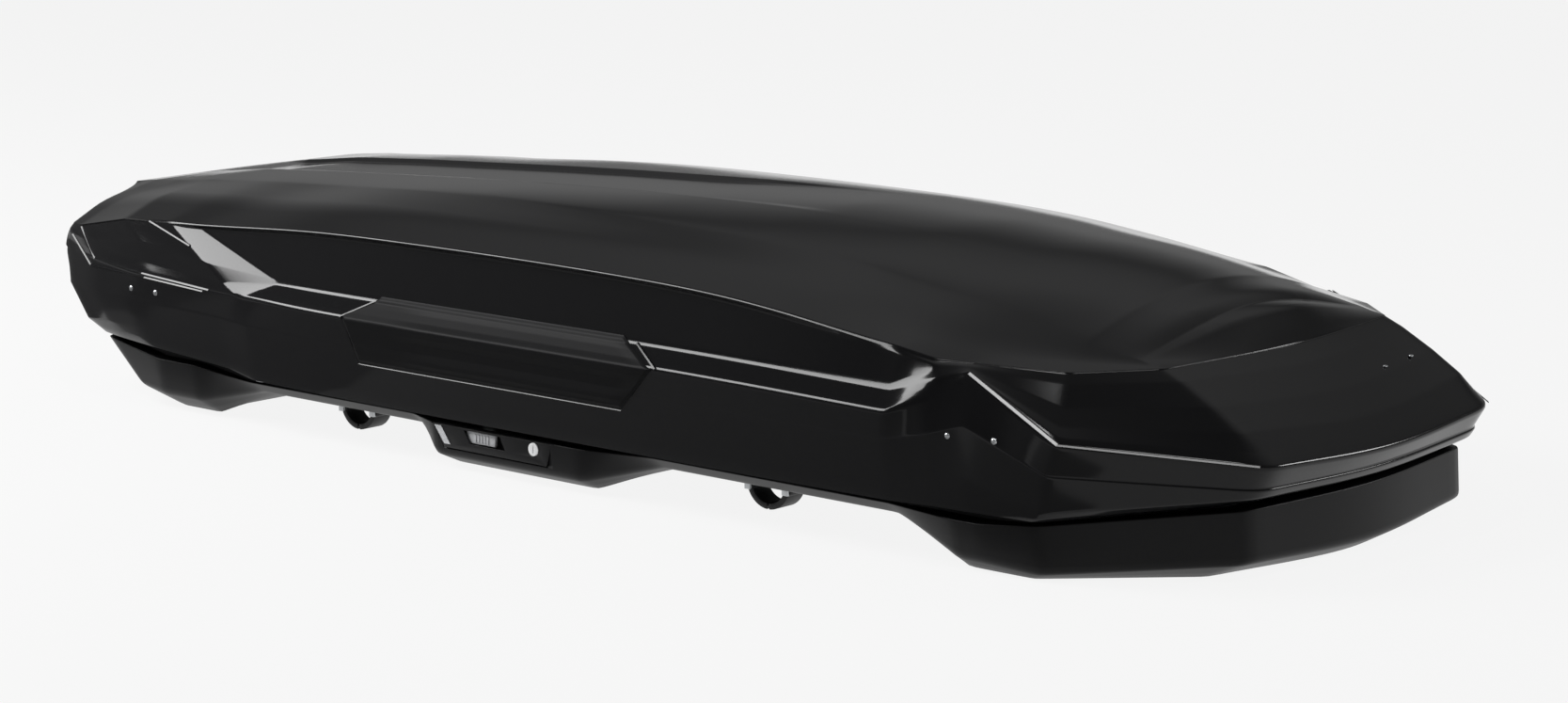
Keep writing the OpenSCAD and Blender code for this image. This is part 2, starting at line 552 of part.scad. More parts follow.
// Ribbed outer panel that is also the finger grip of the lid
module handle_panel(right) {
    back = 0.3;
    color("#2b2c2e") on_side(right) intersection() {
        profile_x(handle_x0, handle_x1, [
            [skirt_y(handle_z0) + back, handle_z0], [belt_y + back, belt_h + back],
            [belt_y - 25 * stretch_y, level(217)], [belt_y - 22 * stretch_y, level(217) + 2], [belt_y - 10, level(209)],
            [belt_y + handle_out, belt_h - 3], [belt_y - 2, belt_h - 18], [belt_y - 1, belt_h - 34],
            [belt_y + handle_out - 3, belt_h - 47], [skirt_y(handle_z0) + back + 2, handle_z0]]);
        translate([0, belt_y + 40, 0]) rotate([90, 0, 0]) linear_extrude(90) polygon([
            [handle_x0, belt_h + 5], [handle_x0 + 41, belt_h + 30], [handle_x1 - 67, belt_h + 30], [handle_x1, belt_h],
            [handle_x1 - 64, handle_z0 - 1], [handle_x0 + 28, handle_z0 - 1]]);
    }
}

// Pull inside the lid's edge, fixed under the beam's flange
module handle_pull(right) {
    color("#2b2c2e") on_side(right) difference() {
        block([-190, beam_in + 1, beam_z - beam_t - 24], [-70, beam_in + 9, beam_z - beam_t]);
        block([-176, beam_in - 1, beam_z - beam_t - 18], [-84, beam_in + 12, beam_z - beam_t - 4]);
    }
}

// ---- Lid lifters: a sprung arm across each end for each side ----
arm_t = 5;
arm_places = [[726, 738] * stretch_x, [-768, -756] * stretch_x];
lift_y = wall_y - base_wall - 14;
lift_z = 84;
lift_pin_r = 5;
roller_r = 6;
roller_y = wall_y + 12;
roller_z = beam_z - beam_t - 0.3 - roller_r;

// Cheeks and pivot pins on the inside of the base's walls
module lifter_brackets() {
    color("#8f9296") for (pair = arm_places) for (i = [0, 1]) on_side(i == 1) translate([pair[i], 0, 0]) {
        for (x = [-arm_t / 2 - 4.3, arm_t / 2 + 0.3])
            block([x, lift_y - 9, lift_z - 18], [x + 4, wall_y - base_wall, lift_z + 12]);
        translate([0, lift_y, lift_z]) along_x(-arm_t / 2 - 4.3, arm_t / 2 + 4.3, lift_pin_r);
    }
}

// Arm from its pivot to the roller under the lid's far edge
module lifter_arm(end, i) {
    color("#3a3c3f") translate([arm_places[end][i], 0, 0]) on_side(i == 1) difference() {
        union() {
            translate([0, lift_y, lift_z]) along_x(-arm_t / 2, arm_t / 2, 11);
            profile_x(-arm_t / 2, arm_t / 2, [[lift_y, lift_z - 11], [lift_y, lift_z + 11],
                [-wall_y + 30, roller_z + 6], [-roller_y, roller_z + 4], [-roller_y, roller_z - 2.4],
                [-wall_y + 16, roller_z - 2.4], [-wall_y + 42, roller_z - 14]]);
            translate([0, -roller_y, roller_z]) along_x(-arm_t / 2 - 3, arm_t / 2 + 3, roller_r);
        }
        translate([0, lift_y, lift_z]) along_x(-arm_t, arm_t, lift_pin_r + 0.05);
    }
}

// Torsion springs beside the pivots, as closed coils
module lifter_springs() {
    coils = 6;
    wire_r = 2;
    color("#55585c") for (pair = arm_places) for (i = [0, 1])
        translate([pair[i] + (i == 0 ? -1 : 1) * (arm_t / 2 + 4.6), 0, 0]) on_side(i == 1)
            translate([0, lift_y, lift_z]) rotate([0, i == 0 ? -90 : 90, 0]) rotate_extrude($fn = 48) union() {
                for (k = [0 : coils - 1]) translate([9, wire_r + k * wire_r * 1.9]) circle(r = wire_r, $fn = 16);
            }
}

// Rests under the lid that the rollers push up: height of the rivets, then the outer edge in plan
rest_t = 4;
rests = [[168, [[712, 429.6], [746, 423.8], [791, 413.2]]], [182, [[-747, 433.3], [-800, 432.1], [-822, 427]]]];
module lifter_rests() {
    color("#8f9296") on_both_sides() for (rest = rests) {
        outer = [for (p = rest[1]) [p[0] * stretch_x, p[1] * stretch_y]];
        back = [outer[2], outer[1], outer[0]];
        difference() {
            translate([0, 0, beam_z - beam_t]) linear_extrude(rest[0] + 4.5 - beam_z + beam_t)
                polygon(concat(outer, [for (p = back) p - [0, rest_t]]));
            for (r = rivet_places) translate([r[0] * stretch_x, 0, r[2]]) along_y(wall_y, belt_y, rivet_r + 0.3);
        }
        translate([0, 0, beam_z - beam_t]) linear_extrude(beam_t)
            polygon(concat([for (p = outer) p - [0, rest_t - 1]], [[outer[2][0], beam_in], [outer[0][0], beam_in]]));
    }
}

// Rivets of the lifter rests: a shank through the wall and a round head outside
rivet_r = 2.5;
rivet_head_r = 4.5;
rivet_head_h = 3;
rivet_l = 13;
rivet_places = [[720, 433.7, 168], [782, 422.7, 168], [-815, 436.6, 182], [-755, 440.4, 182]];
module rivets() {
    dome_r = (rivet_head_r * rivet_head_r + rivet_head_h * rivet_head_h) / (2 * rivet_head_h);
    color("#a9abae") on_both_sides() for (r = rivet_places) translate([r[0] * stretch_x, r[1] * stretch_y, r[2]]) {
        along_y(-rivet_l, 0.1, rivet_r);
        rotate([-90, 0, 0]) rotate_extrude($fn = 48) intersection() {
            translate([0, rivet_head_h - dome_r]) circle(r = dome_r, $fn = 96);
            square([rivet_head_r, rivet_head_h]);
        }
    }
}

base_shell();
base_edge_trim();
mounting_rails();
rail_end_caps();
clamp_pads();
clamp_carriers();
clamp_housing(clamp_places[0]);  // clamp_housing_front_right
clamp_housing(clamp_places[1]);  // clamp_housing_front_left
clamp_housing(clamp_places[2]);  // clamp_housing_rear_right
clamp_housing(clamp_places[3]);  // clamp_housing_rear_left
clamp_knob(clamp_places[0]);  // clamp_knob_front_right
clamp_knob(clamp_places[1]);  // clamp_knob_front_left
clamp_knob(clamp_places[2]);  // clamp_knob_rear_right
clamp_knob(clamp_places[3]);  // clamp_knob_rear_left
claw(clamp_places[0], 1);  // claw_a_front_right
claw(clamp_places[1], 1);  // claw_a_front_left
claw(clamp_places[2], 1);  // claw_a_rear_right
claw(clamp_places[3], 1);  // claw_a_rear_left
claw(clamp_places[0], -1);  // claw_b_front_right
claw(clamp_places[1], -1);  // claw_b_front_left
claw(clamp_places[2], -1);  // claw_b_rear_right
claw(clamp_places[3], -1);  // claw_b_rear_left
pin_cradles(true);  // pin_cradles_right
pin_cradles(false);  // pin_cradles_left
lock_bar(true);  // lock_bar_right
lock_bar(false);  // lock_bar_left
lock_plate(true);  // lock_plate_right
lock_plate(false);  // lock_plate_left
slide_button(true);  // slide_button_right
slide_button(false);  // slide_button_left
key_cylinder(true);  // key_cylinder_right
key_cylinder(false);  // key_cylinder_left
lid_shell();
lid_beam(true);  // lid_beam_right
lid_beam(false);  // lid_beam_left
pin_brackets(true);  // pin_brackets_right
pin_brackets(false);  // pin_brackets_left
striker_pins(true);  // striker_pins_right
striker_pins(false);  // striker_pins_left
handle_panel(true);  // handle_panel_right
handle_panel(false);  // handle_panel_left
handle_pull(true);  // handle_pull_right
handle_pull(false);  // handle_pull_left
lifter_brackets();
lifter_springs();
lifter_arm(0, 0);  // lifter_arm_front_right
lifter_arm(0, 1);  // lifter_arm_front_left
lifter_arm(1, 0);  // lifter_arm_rear_right
lifter_arm(1, 1);  // lifter_arm_rear_left
lifter_rests();
rivets();
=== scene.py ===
"""Looks of a roof cargo box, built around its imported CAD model.

Everything is in metres in the shared frame: +X to the front, +Y to the left side, +Z up, and the
box stands on z = 0. The two moulded shells and the grip panels are made here as fine smooth skins
from the same body lines as the CAD. The fittings are the CAD's own nodes, with softened edges and
real finishes. Body lines are written in millimetres.
"""

import logging
import math
from dataclasses import dataclass
from enum import Enum
from typing import Callable, Sequence

import bpy
import numpy as np
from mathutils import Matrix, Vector

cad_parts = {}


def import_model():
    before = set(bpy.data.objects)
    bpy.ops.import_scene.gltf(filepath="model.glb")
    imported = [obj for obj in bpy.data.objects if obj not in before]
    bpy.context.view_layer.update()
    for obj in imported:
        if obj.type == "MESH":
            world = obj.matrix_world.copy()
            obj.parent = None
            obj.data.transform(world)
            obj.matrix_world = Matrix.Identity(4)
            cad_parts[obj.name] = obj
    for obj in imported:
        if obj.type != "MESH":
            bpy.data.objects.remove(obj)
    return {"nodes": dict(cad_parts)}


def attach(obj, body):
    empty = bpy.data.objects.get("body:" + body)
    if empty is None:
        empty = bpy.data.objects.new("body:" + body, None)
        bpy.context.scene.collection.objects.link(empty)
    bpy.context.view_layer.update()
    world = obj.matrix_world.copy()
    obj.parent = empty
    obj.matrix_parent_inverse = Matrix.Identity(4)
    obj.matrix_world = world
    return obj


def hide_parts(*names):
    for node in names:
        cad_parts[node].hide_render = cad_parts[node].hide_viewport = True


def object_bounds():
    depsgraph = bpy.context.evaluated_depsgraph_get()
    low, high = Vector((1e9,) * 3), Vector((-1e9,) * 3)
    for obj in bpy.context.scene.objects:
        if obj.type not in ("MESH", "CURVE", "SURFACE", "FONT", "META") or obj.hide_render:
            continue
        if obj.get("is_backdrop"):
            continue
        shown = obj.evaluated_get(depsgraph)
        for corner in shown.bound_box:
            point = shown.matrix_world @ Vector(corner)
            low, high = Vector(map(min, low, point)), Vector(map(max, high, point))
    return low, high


logging.basicConfig(level=logging.INFO, format="%(name)s: %(message)s")
log = logging.getLogger("roof_box")

MM = 0.001
# Turns a point of one side into that of the other
MIRROR = np.array([1, -1, 1])
Point = tuple[float, float, float]
Pairs = Sequence[tuple[float, float]]


class Side(Enum):
    """A side of the box. The value is the sign of Y on it."""

    RIGHT = -1
    LEFT = 1

    @property
    def label(self) -> str:
        """The side's name as pieces carry it."""
        return self.name.lower()


# ---- Small helpers ----
def linear(hex_colour: str) -> tuple[float, float, float, float]:
    """Turns a written sRGB colour into the linear one that the renderer works in.

    Args:
        hex_colour: The colour as "#rrggbb".

    Returns:
        Linear red, green, blue and an alpha of 1.
    """
    parts = [int(hex_colour[i : i + 2], 16) / 255 for i in (1, 3, 5)]
    r, g, b = (c / 12.92 if c <= 0.04045 else ((c + 0.055) / 1.055) ** 2.4 for c in parts)
    return (r, g, b, 1.0)


def add_node(
    tree: bpy.types.NodeTree, kind: str, settings: dict | None = None, inputs: dict | None = None
) -> bpy.types.Node:
    """Adds one shader node, sets it up and links or fills its inputs.

    Args:
        tree: The node tree that gets the node.
        kind: The node's type name.
        settings: Values of the node's own properties.
        inputs: For each input, by name or number, the value it takes or the socket that feeds it.

    Returns:
        The new node.
    """
    node = tree.nodes.new(kind)
    for key, value in (settings or {}).items():
        setattr(node, key, value)
    for key, value in (inputs or {}).items():
        if isinstance(value, bpy.types.NodeSocket):
            tree.links.new(value, node.inputs[key])
        else:
            node.inputs[key].default_value = value
    return node


def along(x: float, line: Pairs) -> float:
    """Value at x of a line given by (x, value) pairs."""
    return float(np.interp(x, [p[0] for p in line], [p[1] for p in line]))


def ramp(value: np.ndarray, start: float, stop: float) -> np.ndarray:
    """Straight rise from 0 where the value is at start to 1 where it is at stop."""
    return np.clip((value - start) / (stop - start), 0, 1)


def smooth(value: float) -> float:
    """Eases a share from 0 to 1, held at both ends."""
    t = min(1.0, max(0.0, value))
    return t * t * (3 - 2 * t)


# ---- Finishes ----
@dataclass(frozen=True)
class Finish:
    """A real surface finish.

    Attributes:
        name: The material's name, for what the surface is.
        colour: Base colour, as written sRGB.
        roughness: From 0, a mirror, to 1, dull.
        metallic: 1 for bare metal.
        specular: Strength of the reflection; 0.5 is usual for plastic.
        grain: Size of the surface grain in metres, 0 for none.
        grain_depth: Depth of the grain in metres.
        streaks: How far the grain is drawn out along X, as on an extrusion.
        detail: How many finer layers the grain has.
    """

    name: str
    colour: str
    roughness: float
    metallic: float = 0.0
    specular: float = 0.5
    grain: float = 0.0
    grain_depth: float = 0.0
    streaks: float = 1.0
    detail: float = 3.0

    def material(self) -> bpy.types.Material:
        """Makes the finish's material when it is first asked for.

        Returns:
            The material.
        """
        found = bpy.data.materials.get(self.name)
        if found:
            return found
        mat = bpy.data.materials.new(self.name)
        mat.use_nodes = True
        tree = mat.node_tree
        tree.nodes.clear()
        shader = add_node(tree, "ShaderNodeBsdfPrincipled", inputs={
            "Base Color": linear(self.colour), "Roughness": self.roughness,
            "Metallic": self.metallic, "Specular IOR Level": self.specular})
        add_node(tree, "ShaderNodeOutputMaterial", inputs={"Surface": shader.outputs["BSDF"]})
        if self.grain:
            place = add_node(tree, "ShaderNodeTexCoord")
            stretch = add_node(tree, "ShaderNodeMapping", inputs={
                "Vector": place.outputs["Object"], "Scale": (1 / self.streaks, 1, 1)})
            noise = add_node(tree, "ShaderNodeTexNoise", inputs={
                "Vector": stretch.outputs["Vector"], "Scale": 1 / self.grain, "Detail": self.detail})
            bump = add_node(tree, "ShaderNodeBump", inputs={
                "Height": noise.outputs["Fac"], "Distance": self.grain_depth, "Strength": 1.0})
            tree.links.new(bump.outputs["Normal"], shader.inputs["Normal"])
        return mat


# ABS sheet with a glossy acrylic cap, drawn over a polished mould: near black, with sharp but weak
# reflections of the lamps and the floor.
GLOSS_ABS = Finish("gloss_moulded_abs", "#0f0f10", 0.12, specular=0.2)
# ABS sheet drawn over a lightly grained mould: black, with wide soft highlights. The grain is
# 1.2 mm, coarser than the real 0.3 mm, which would be too fine to show.
SATIN_ABS = Finish(
    "satin_moulded_abs", "#101011", 0.4, specular=0.15, grain=1.2 * MM, grain_depth=0.02 * MM)
# ABS moulded against a spark-eroded steel face: takes hardly any light, so the grip looks darker
# than the lid around it. The grain is 0.9 mm, coarser than the real 0.1 mm, so that it shows.
GRAINED_ABS = Finish(
    "fine_grained_moulded_abs", "#0f0f10", 0.5, specular=0.07, grain=0.9 * MM, grain_depth=0.03 * MM)
# ABS injected into an etched mould: a lock cover a shade lighter and duller than the shells.
MATTE_ABS = Finish("matte_moulded_abs", "#161617", 0.4, specular=0.2)
# Nylon with glass fibres, injection-moulded: dark grey with a broad sheen, faintly mottled by the
# 1.5 mm swirls that the fibres leave.
GLASS_NYLON = Finish(
    "moulded_glass_filled_nylon", "#1b1b1c", 0.5, specular=0.35, grain=1.5 * MM, grain_depth=0.04 * MM)
# Thermoplastic elastomer moulded over the knob: mid grey, soft to look at, with no sharp highlight.
SOFT_ELASTOMER = Finish("moulded_soft_touch_elastomer", "#8f9194", 0.55)
# Acetal, injection-moulded in light grey: an even tone with a slight sheen.
GREY_ACETAL = Finish("moulded_light_grey_acetal", "#a3a4a6", 0.5, specular=0.3)
# EPDM rubber, extruded: deep dull black that swallows the light.
EPDM_RUBBER = Finish("extruded_epdm_rubber", "#121212", 0.8, specular=0.3)
# Aluminium, extruded and left as it leaves the die: silvery, with 2 mm grain drawn out 40 times
# into faint streaks along the rail.
MILL_ALUMINIUM = Finish(
    "extruded_mill_finish_aluminium", "#c9cbce", 0.35, metallic=1.0,
    grain=2.0 * MM, grain_depth=0.02 * MM, streaks=40)
# Steel, pressed and then zinc-plated: a cool light grey metal with soft reflections.
ZINC_STEEL = Finish("zinc_plated_pressed_steel", "#b4b6b8", 0.33, metallic=1.0)
# Brass with brushed nickel plating: the key's face shows as a pale, nearly white disc.
BRUSHED_NICKEL = Finish("brushed_nickel_plated_brass", "#dcdddd", 0.45, metallic=0.4)
# Steel with a baked powder coat: dark grey, with the 1.5 mm orange peel of the coat.
POWDER_STEEL = Finish(
    "dark_powder_coated_steel", "#2c2d2f", 0.5, grain=1.5 * MM, grain_depth=0.04 * MM)


# ---- Meshes ----
# How strongly large flat faces keep their own shading beside a rounding
FLAT_FACE_WEIGHT = 60
# Largest share of a section's leg that a rounding takes up
REACH_LIMIT = 0.42
# How often the turns of a skin, and the heights of its patch, are evened out
EASING_PASSES = 30
PATCH_PASSES = 40
# Points along each rounded crease
CREASE_STEPS = 5


def mesh_object(
    name: str, points: np.ndarray, faces: Sequence[Sequence[int]], finish: Finish
) -> bpy.types.Object:
    """Makes a smooth-shaded mesh object.

    Args:
        name: The object's name.
        points: Its points in metres, one per row.
        faces: Its faces, as point numbers.
        finish: Its finish.

    Returns:
        The object, linked to the scene.
    """
    mesh = bpy.data.meshes.new(name)
    mesh.from_pydata([tuple(p) for p in points], [], [tuple(f) for f in faces])
    mesh.validate()
    mesh.materials.append(finish.material())
    mesh.polygons.foreach_set("use_smooth", [True] * len(mesh.polygons))
    obj = bpy.data.objects.new(name, mesh)
    bpy.context.scene.collection.objects.link(obj)
    log.info("%s: %d faces", name, len(mesh.polygons))
    return obj


def thicken(obj: bpy.types.Object, wall: float) -> None:
    """Gives a skin its wall, inwards from the drawn outer face.

    Args:
        obj: The skin.
        wall: Thickness of the wall in metres.
    """
    solid = obj.modifiers.new("wall", "SOLIDIFY")
    solid.thickness = wall
    solid.offset = -1
    solid.use_rim = True
    normals = obj.modifiers.new("flat_faces_stay_flat", "WEIGHTED_NORMAL")
    normals.weight = FLAT_FACE_WEIGHT


def through(a: np.ndarray, b: np.ndarray, c: np.ndarray, d: np.ndarray, t: float) -> np.ndarray:
    """Follows the smooth curve from b to c that takes its directions from a and d.

    Args:
        a: The points before b.
        b: The points where the stretch starts.
        c: The points where it ends.
        d: The points after c.
        t: Share of the way from b to c.

    Returns:
        The points at t.
    """
    t2, t3 = t * t, t * t * t
    held = b * (2 * t3 - 3 * t2 + 1) + c * (3 * t2 - 2 * t3)
    return held + (c - a) / 2 * (t3 - 2 * t2 + t) + (d - b) / 2 * (t3 - t2)


@dataclass(frozen=True)
class BodyLines:
    """The lines that one moulded shell is drawn by, on its half y > 0, in millimetres.

    Attributes:
        sections: One list of points per section, from the free edge inwards, from nose to tail.
        corners: Sections at which the outline turns a sharp corner.
        radii: Rounding of the crease at each point of a section.
    """

    sections: Sequence[Sequence[Point]]
    corners: frozenset[int]
    radii: Sequence[float]

    def _neighbour(self, net: np.ndarray, k: int, step: int) -> np.ndarray:
        """Finds the section that gives the curve its direction at section k.

        Args:
            net: All the sections' points.
            k: The section.
            step: 1 for the direction towards the tail, -1 for the nose.

        Returns:
            The next section, carried on straight at a corner and mirrored at the middle plane.
        """
        if k in self.corners:
            return 2 * net[k] - net[k - step]
        if k + step < 0:
            return net[1] * MIRROR
        if k + step > len(net) - 1:
            return net[k - 1] * MIRROR
        return net[k + step]

    def columns(self, spacing: float, shares: np.ndarray) -> tuple[np.ndarray, int]:
        """Lays columns of points along the half.

        Args:
            spacing: Distance between columns along the sides, in millimetres.
            shares: Places of the columns across the nose and the tail, from 0 in the middle to 1
                at the corner.

        Returns:
            The columns, and how many of them lie on the nose.
        """
        net = np.array(self.sections, float)
        made = []
        for k in range(len(net) - 1):
            a, d = self._neighbour(net, k, -1), self._neighbour(net, k + 1, 1)
            if k == 0:
                stops = shares[:-1]
            elif k == len(net) - 2:
                stops = 1 - shares[:0:-1]
            else:
                length = np.linalg.norm(net[k + 1] - net[k], axis=1).mean()
                count = max(2, round(length / spacing))
                stops = np.arange(count) / count
            made += [through(a, net[k], net[k + 1], d, t) for t in stops]
        made.append(net[-1])
        return np.array(made), len(shares) - 1


def rounded_profile(corners: np.ndarray, radii: Sequence[float], steps: int) -> np.ndarray:
    """Rounds the corners of many profiles at once.

    Args:
        corners: Profiles by corner by coordinate.
        radii: Rounding at each corner.
        steps: Points along each rounding.

    Returns:
        The rounded profiles, all with the same number of points.
    """
    last = corners[:, 0]
    rows = [last]
    for k in range(1, corners.shape[1] - 1):
        here = corners[:, k]
        reach = []
        for other in (corners[:, k - 1], corners[:, k + 1]):
            gap = np.maximum(np.linalg.norm(other - here, axis=1, keepdims=True), 1e-6)
            reach.append(here + (other - here) * np.minimum(radii[k] / gap, REACH_LIMIT))
        rows.append((reach[0] + last) / 2)
        for t in np.linspace(0, 1, steps):
            rows.append(reach[0] * (1 - t) ** 2 + here * 2 * t * (1 - t) + reach[1] * t * t)
        last = reach[1]
    rows += [(last + corners[:, -1]) / 2, corners[:, -1]]
    return np.stack(rows, axis=1)


def row_rings(corners: int, steps: int) -> np.ndarray:
    """Says which section point each row of a rounded profile belongs to.

    Args:
        corners: How many points a section has.
        steps: Points along each rounding.

    Returns:
        The section point of each row, with halves for the rows in between.
    """
    rows = [0.0]
    for k in range(1, corners - 1):
        rows += [k - 0.5] + [float(k)] * steps
    return np.array(rows + [corners - 1.5, corners - 1.0])


def eased(points: np.ndarray, softness: np.ndarray) -> np.ndarray:
    """Softens the turns along the first axis, as a moulding does, and keeps both ends in place.

    Args:
        points: Columns by row by coordinate.
        softness: From 0 to 1 for each column and row.

    Returns:
        The moved points.
    """
    share = softness[:, :, None] / 2
    for _ in range(EASING_PASSES):
        before, after = np.roll(points, 1, axis=0), np.roll(points, -1, axis=0)
        before[0], after[-1] = points[1] * MIRROR, points[-2] * MIRROR
        points = points * (1 - share) + (before + after) / 2 * share
    return points


class Skin:
    """A shell's outer skin: rings around the box, joined by a patch over the roof or the floor."""

    def __init__(
        self, lines: BodyLines, patch: Callable, shares: np.ndarray, spacing: float, softness: Callable
    ) -> None:
        """Lays the rings of the half y > 0.

        Args:
            lines: The body lines.
            patch: Gives the height of the patch from a ridge point and the share of its distance
                from the middle.
            shares: Places across the nose, the tail and the patch.
            spacing: Distance between columns, in millimetres.
            softness: Gives how far the skin is eased from the place along the box and the
                section point.
        """
        columns, self.nose = lines.columns(spacing, shares)
        rounded = rounded_profile(columns, lines.radii, CREASE_STEPS)
        rings = row_rings(columns.shape[1], CREASE_STEPS)
        self.half = eased(rounded, softness(rounded[:, :, 0], rings[None, :]))
        self.patch, self.shares = patch, shares

    def _patch_grid(self, tail: int) -> np.ndarray:
        """Lays the patch between the last ring's two sides.

        Args:
            tail: The first column of the tail.

        Returns:
            Its points in millimetres, by row along the box and place across it.
        """
        a = self.nose
        across = np.concatenate([-self.shares[::-1], self.shares[1:]])
        ridge = self.half[a : tail + 1, -1]
        grid = np.array([[(p[0], s * p[1], self.patch(p, abs(s))) for s in across] for p in ridge])
        for row, end in ((0, self.half[: a + 1, -1]), (-1, self.half[tail:, -1][::-1])):
            grid[row, : a + 1] = end[::-1] * MIRROR
            grid[row, a:] = end
        for _ in range(PATCH_PASSES):
            beside = grid[:-2, 1:-1, 2] + grid[2:, 1:-1, 2]
            grid[1:-1, 1:-1, 2] = grid[1:-1, 1:-1, 2] / 2 + beside / 4
        return grid

    def mesh(self) -> tuple[np.ndarray, list[list[int]]]:
        """Joins the rings and the patch into one skin.

        Returns:
            Its points in metres, and its faces as point numbers.
        """
        half, a = self.half, self.nose
        n, rings = len(half) - 1, half.shape[1]
        around, b = 2 * n, n - a
        rim = np.concatenate([half * MIRROR, half[-2:0:-1]]).transpose(1, 0, 2).reshape(-1, 3)
        grid = self._patch_grid(b)
        rows, wide = grid.shape[0] - 1, grid.shape[1] - 1
        points = np.concatenate([rim, grid[1:-1, 1:-1].reshape(-1, 3)]) * MM

        def spot(i: int, m: int) -> int:
            """Gives the number of one of the patch's points.

            Args:
                i: Its row along the box.
                m: Its place across the box.

            Returns:
                The point's number, which is the last ring's own at the patch's edge.
            """
            top = (rings - 1) * around
            if i == 0:
                return top + (a - m + around) % around
            if i == rows:
                return top + b + m
            if m == 0:
                return top + a + i
            if m == wide:
                return top + around - a - i
            return rings * around + (i - 1) * (wide - 1) + m - 1

        faces = []
        for low in range(0, (rings - 1) * around, around):
            for p in range(around):
                q = (p + 1) % around
                faces.append([low + p, low + q, low + around + q, low + around + p])
        for i in range(rows):
            for m in range(wide):
                faces.append([spot(i, m), spot(i + 1, m), spot(i + 1, m + 1), spot(i, m + 1)])
        return points, [f[::-1] for f in faces]


# ---- Lid ----
# One section per entry, from nose to tail. Each runs: lower edge, lip foot, lip top, belt crease, ledge,
# window foot, window head, shoulder, cant, ridge.
LID_SECTIONS = [
    # Nose middle
    [(1036, 0, 93.4), (1054, 0, 100.1), (1060, 0, 109.8), (1075, 0, 136), (1037, 0, 169.8),
     (999, 0, 199), (957, 0, 228), (928, 0, 246), (914, 0, 264), (893, 0, 288)],
    # Nose corner
    [(1020, 246, 95.3), (1042, 250, 105.9), (1048, 252, 115.6), (1062, 255, 146.6), (1017, 253, 183.4),
     (977, 252, 209), (931, 251, 234), (905, 250, 246), (890, 250, 249), (872, 250, 253)],
    # Cheek
    [(838, 412, 75.9), (846, 414, 87.6), (855, 415, 132.1), (869, 416, 172.7), (857, 392, 190.2),
     (845, 370, 208), (832, 345, 232), (826, 333, 243), (812, 295, 252), (798, 257, 269)],
    # Shoulder peak
    [(748, 431, 78.8), (746, 434, 117.6), (740, 430, 180.5), (727, 403, 239), (721, 397, 242),
     (716, 391, 244), (712, 386, 246), (710, 380, 248), (704, 330, 262), (700, 260, 286)],
    # Window tip
    [(700, 434, 78.8), (698, 438, 117.6), (694, 442, 166), (688, 428, 211), (690, 420, 232),
     (685, 413, 239), (680, 405, 246), (674, 400, 249), (666, 340, 267), (660, 262, 293)],
    # Window front
    [(630, 435.4, 75.9), (630, 442.2, 112.7), (632, 449.8, 153.4), (640, 456, 189.2), (628, 430, 212),
     (625, 426, 219), (629, 411, 253), (618, 408, 260), (606, 341, 278), (600, 261, 301)],
    # Side front
    [(270, 435, 74), (270, 442.2, 112.7), (270, 449.8, 153.4), (270, 457.5, 195), (270, 430, 218),
     (270, 427, 224), (265, 412, 292), (265, 418, 297), (270, 345, 319), (270, 250, 336)],
    # Side rear
    [(-330, 435, 74), (-330, 442.2, 112.7), (-330, 449.8, 153.4), (-330, 457.5, 195), (-330, 430, 219),
     (-330, 427, 225), (-330, 412, 297), (-330, 418, 302), (-330, 335, 327), (-330, 225, 342)],
    # Pillar front
    [(-545, 435.5, 76.9), (-545, 442.6, 114.7), (-545, 450.5, 157.2), (-546, 450, 200), (-500, 428, 220),
     (-506, 425, 226), (-680, 410, 280), (-692, 414, 285), (-676, 325, 311), (-660, 222, 325)],
    # Pillar rear
    [(-600, 435, 87.6), (-602, 440, 120.5), (-606, 446, 161.1), (-566, 450, 200), (-598, 443.6, 214),
     (-645, 436, 238), (-738, 415, 279), (-752, 413, 283), (-756, 325, 309), (-760, 222, 321)],
    # Quarter
    [(-780, 434, 99.2), (-800, 437, 126.3), (-828, 437, 166), (-786, 440, 207), (-792, 430, 225),
     (-812, 423, 252), (-850, 412, 270), (-862, 408, 277), (-885, 320, 302), (-900, 222, 311)],
    # Panel end
    [(-868, 418, 100.1), (-892, 420, 122.4), (-925, 422, 166.9), (-925, 422, 213), (-932, 418, 226),
     (-944, 412, 240), (-966, 404, 250), (-978, 400, 256), (-990, 315, 286), (-965, 222, 308)],
    # Tail corner
    [(-935, 401, 100.1), (-980, 398, 113.7), (-1032, 390, 164), (-1037, 389, 212), (-1029, 391, 230),
     (-1023, 392, 240), (-1017, 392, 248), (-1010, 391, 255), (-1036, 310, 281), (-1020, 222, 303)],
    # Tail ridge
    [(-985, 230, 106.9), (-1015, 229, 130.1), (-1050, 227, 184.4), (-1062, 226, 235), (-1064, 225, 250),
     (-1066, 225, 262), (-1067, 224, 273), (-1068, 224, 282), (-1068, 223, 290), (-1065, 223, 298)],
    # Tail middle
    [(-988, 0, 106.9), (-1020, 0, 132.1), (-1056, 0, 184.4), (-1069, 0, 237), (-1071, 0, 252),
     (-1073, 0, 264), (-1074, 0, 275), (-1075, 0, 283), (-1075, 0, 291), (-1073, 0, 298)],
]
# Places in that list
NOSE_MIDDLE, NOSE_CORNER, CHEEK, PEAK = range(4)
WINDOW = range(4, 10)
# Height of the middle of the roof along the box
ROOF_LINE = [(-1075, 298), (-900, 320), (-700, 332), (-330, 350), (0, 362), (150, 363.5), (250, 363),
             (450, 355), (640, 339), (750, 322), (850, 301), (900, 288)]
# Fullness of the roof's cross-section along the box: lower is fuller
DOME_LINE = [(-300, 0.7), (270, 0.85), (600, 0.95), (880, 1.05)]
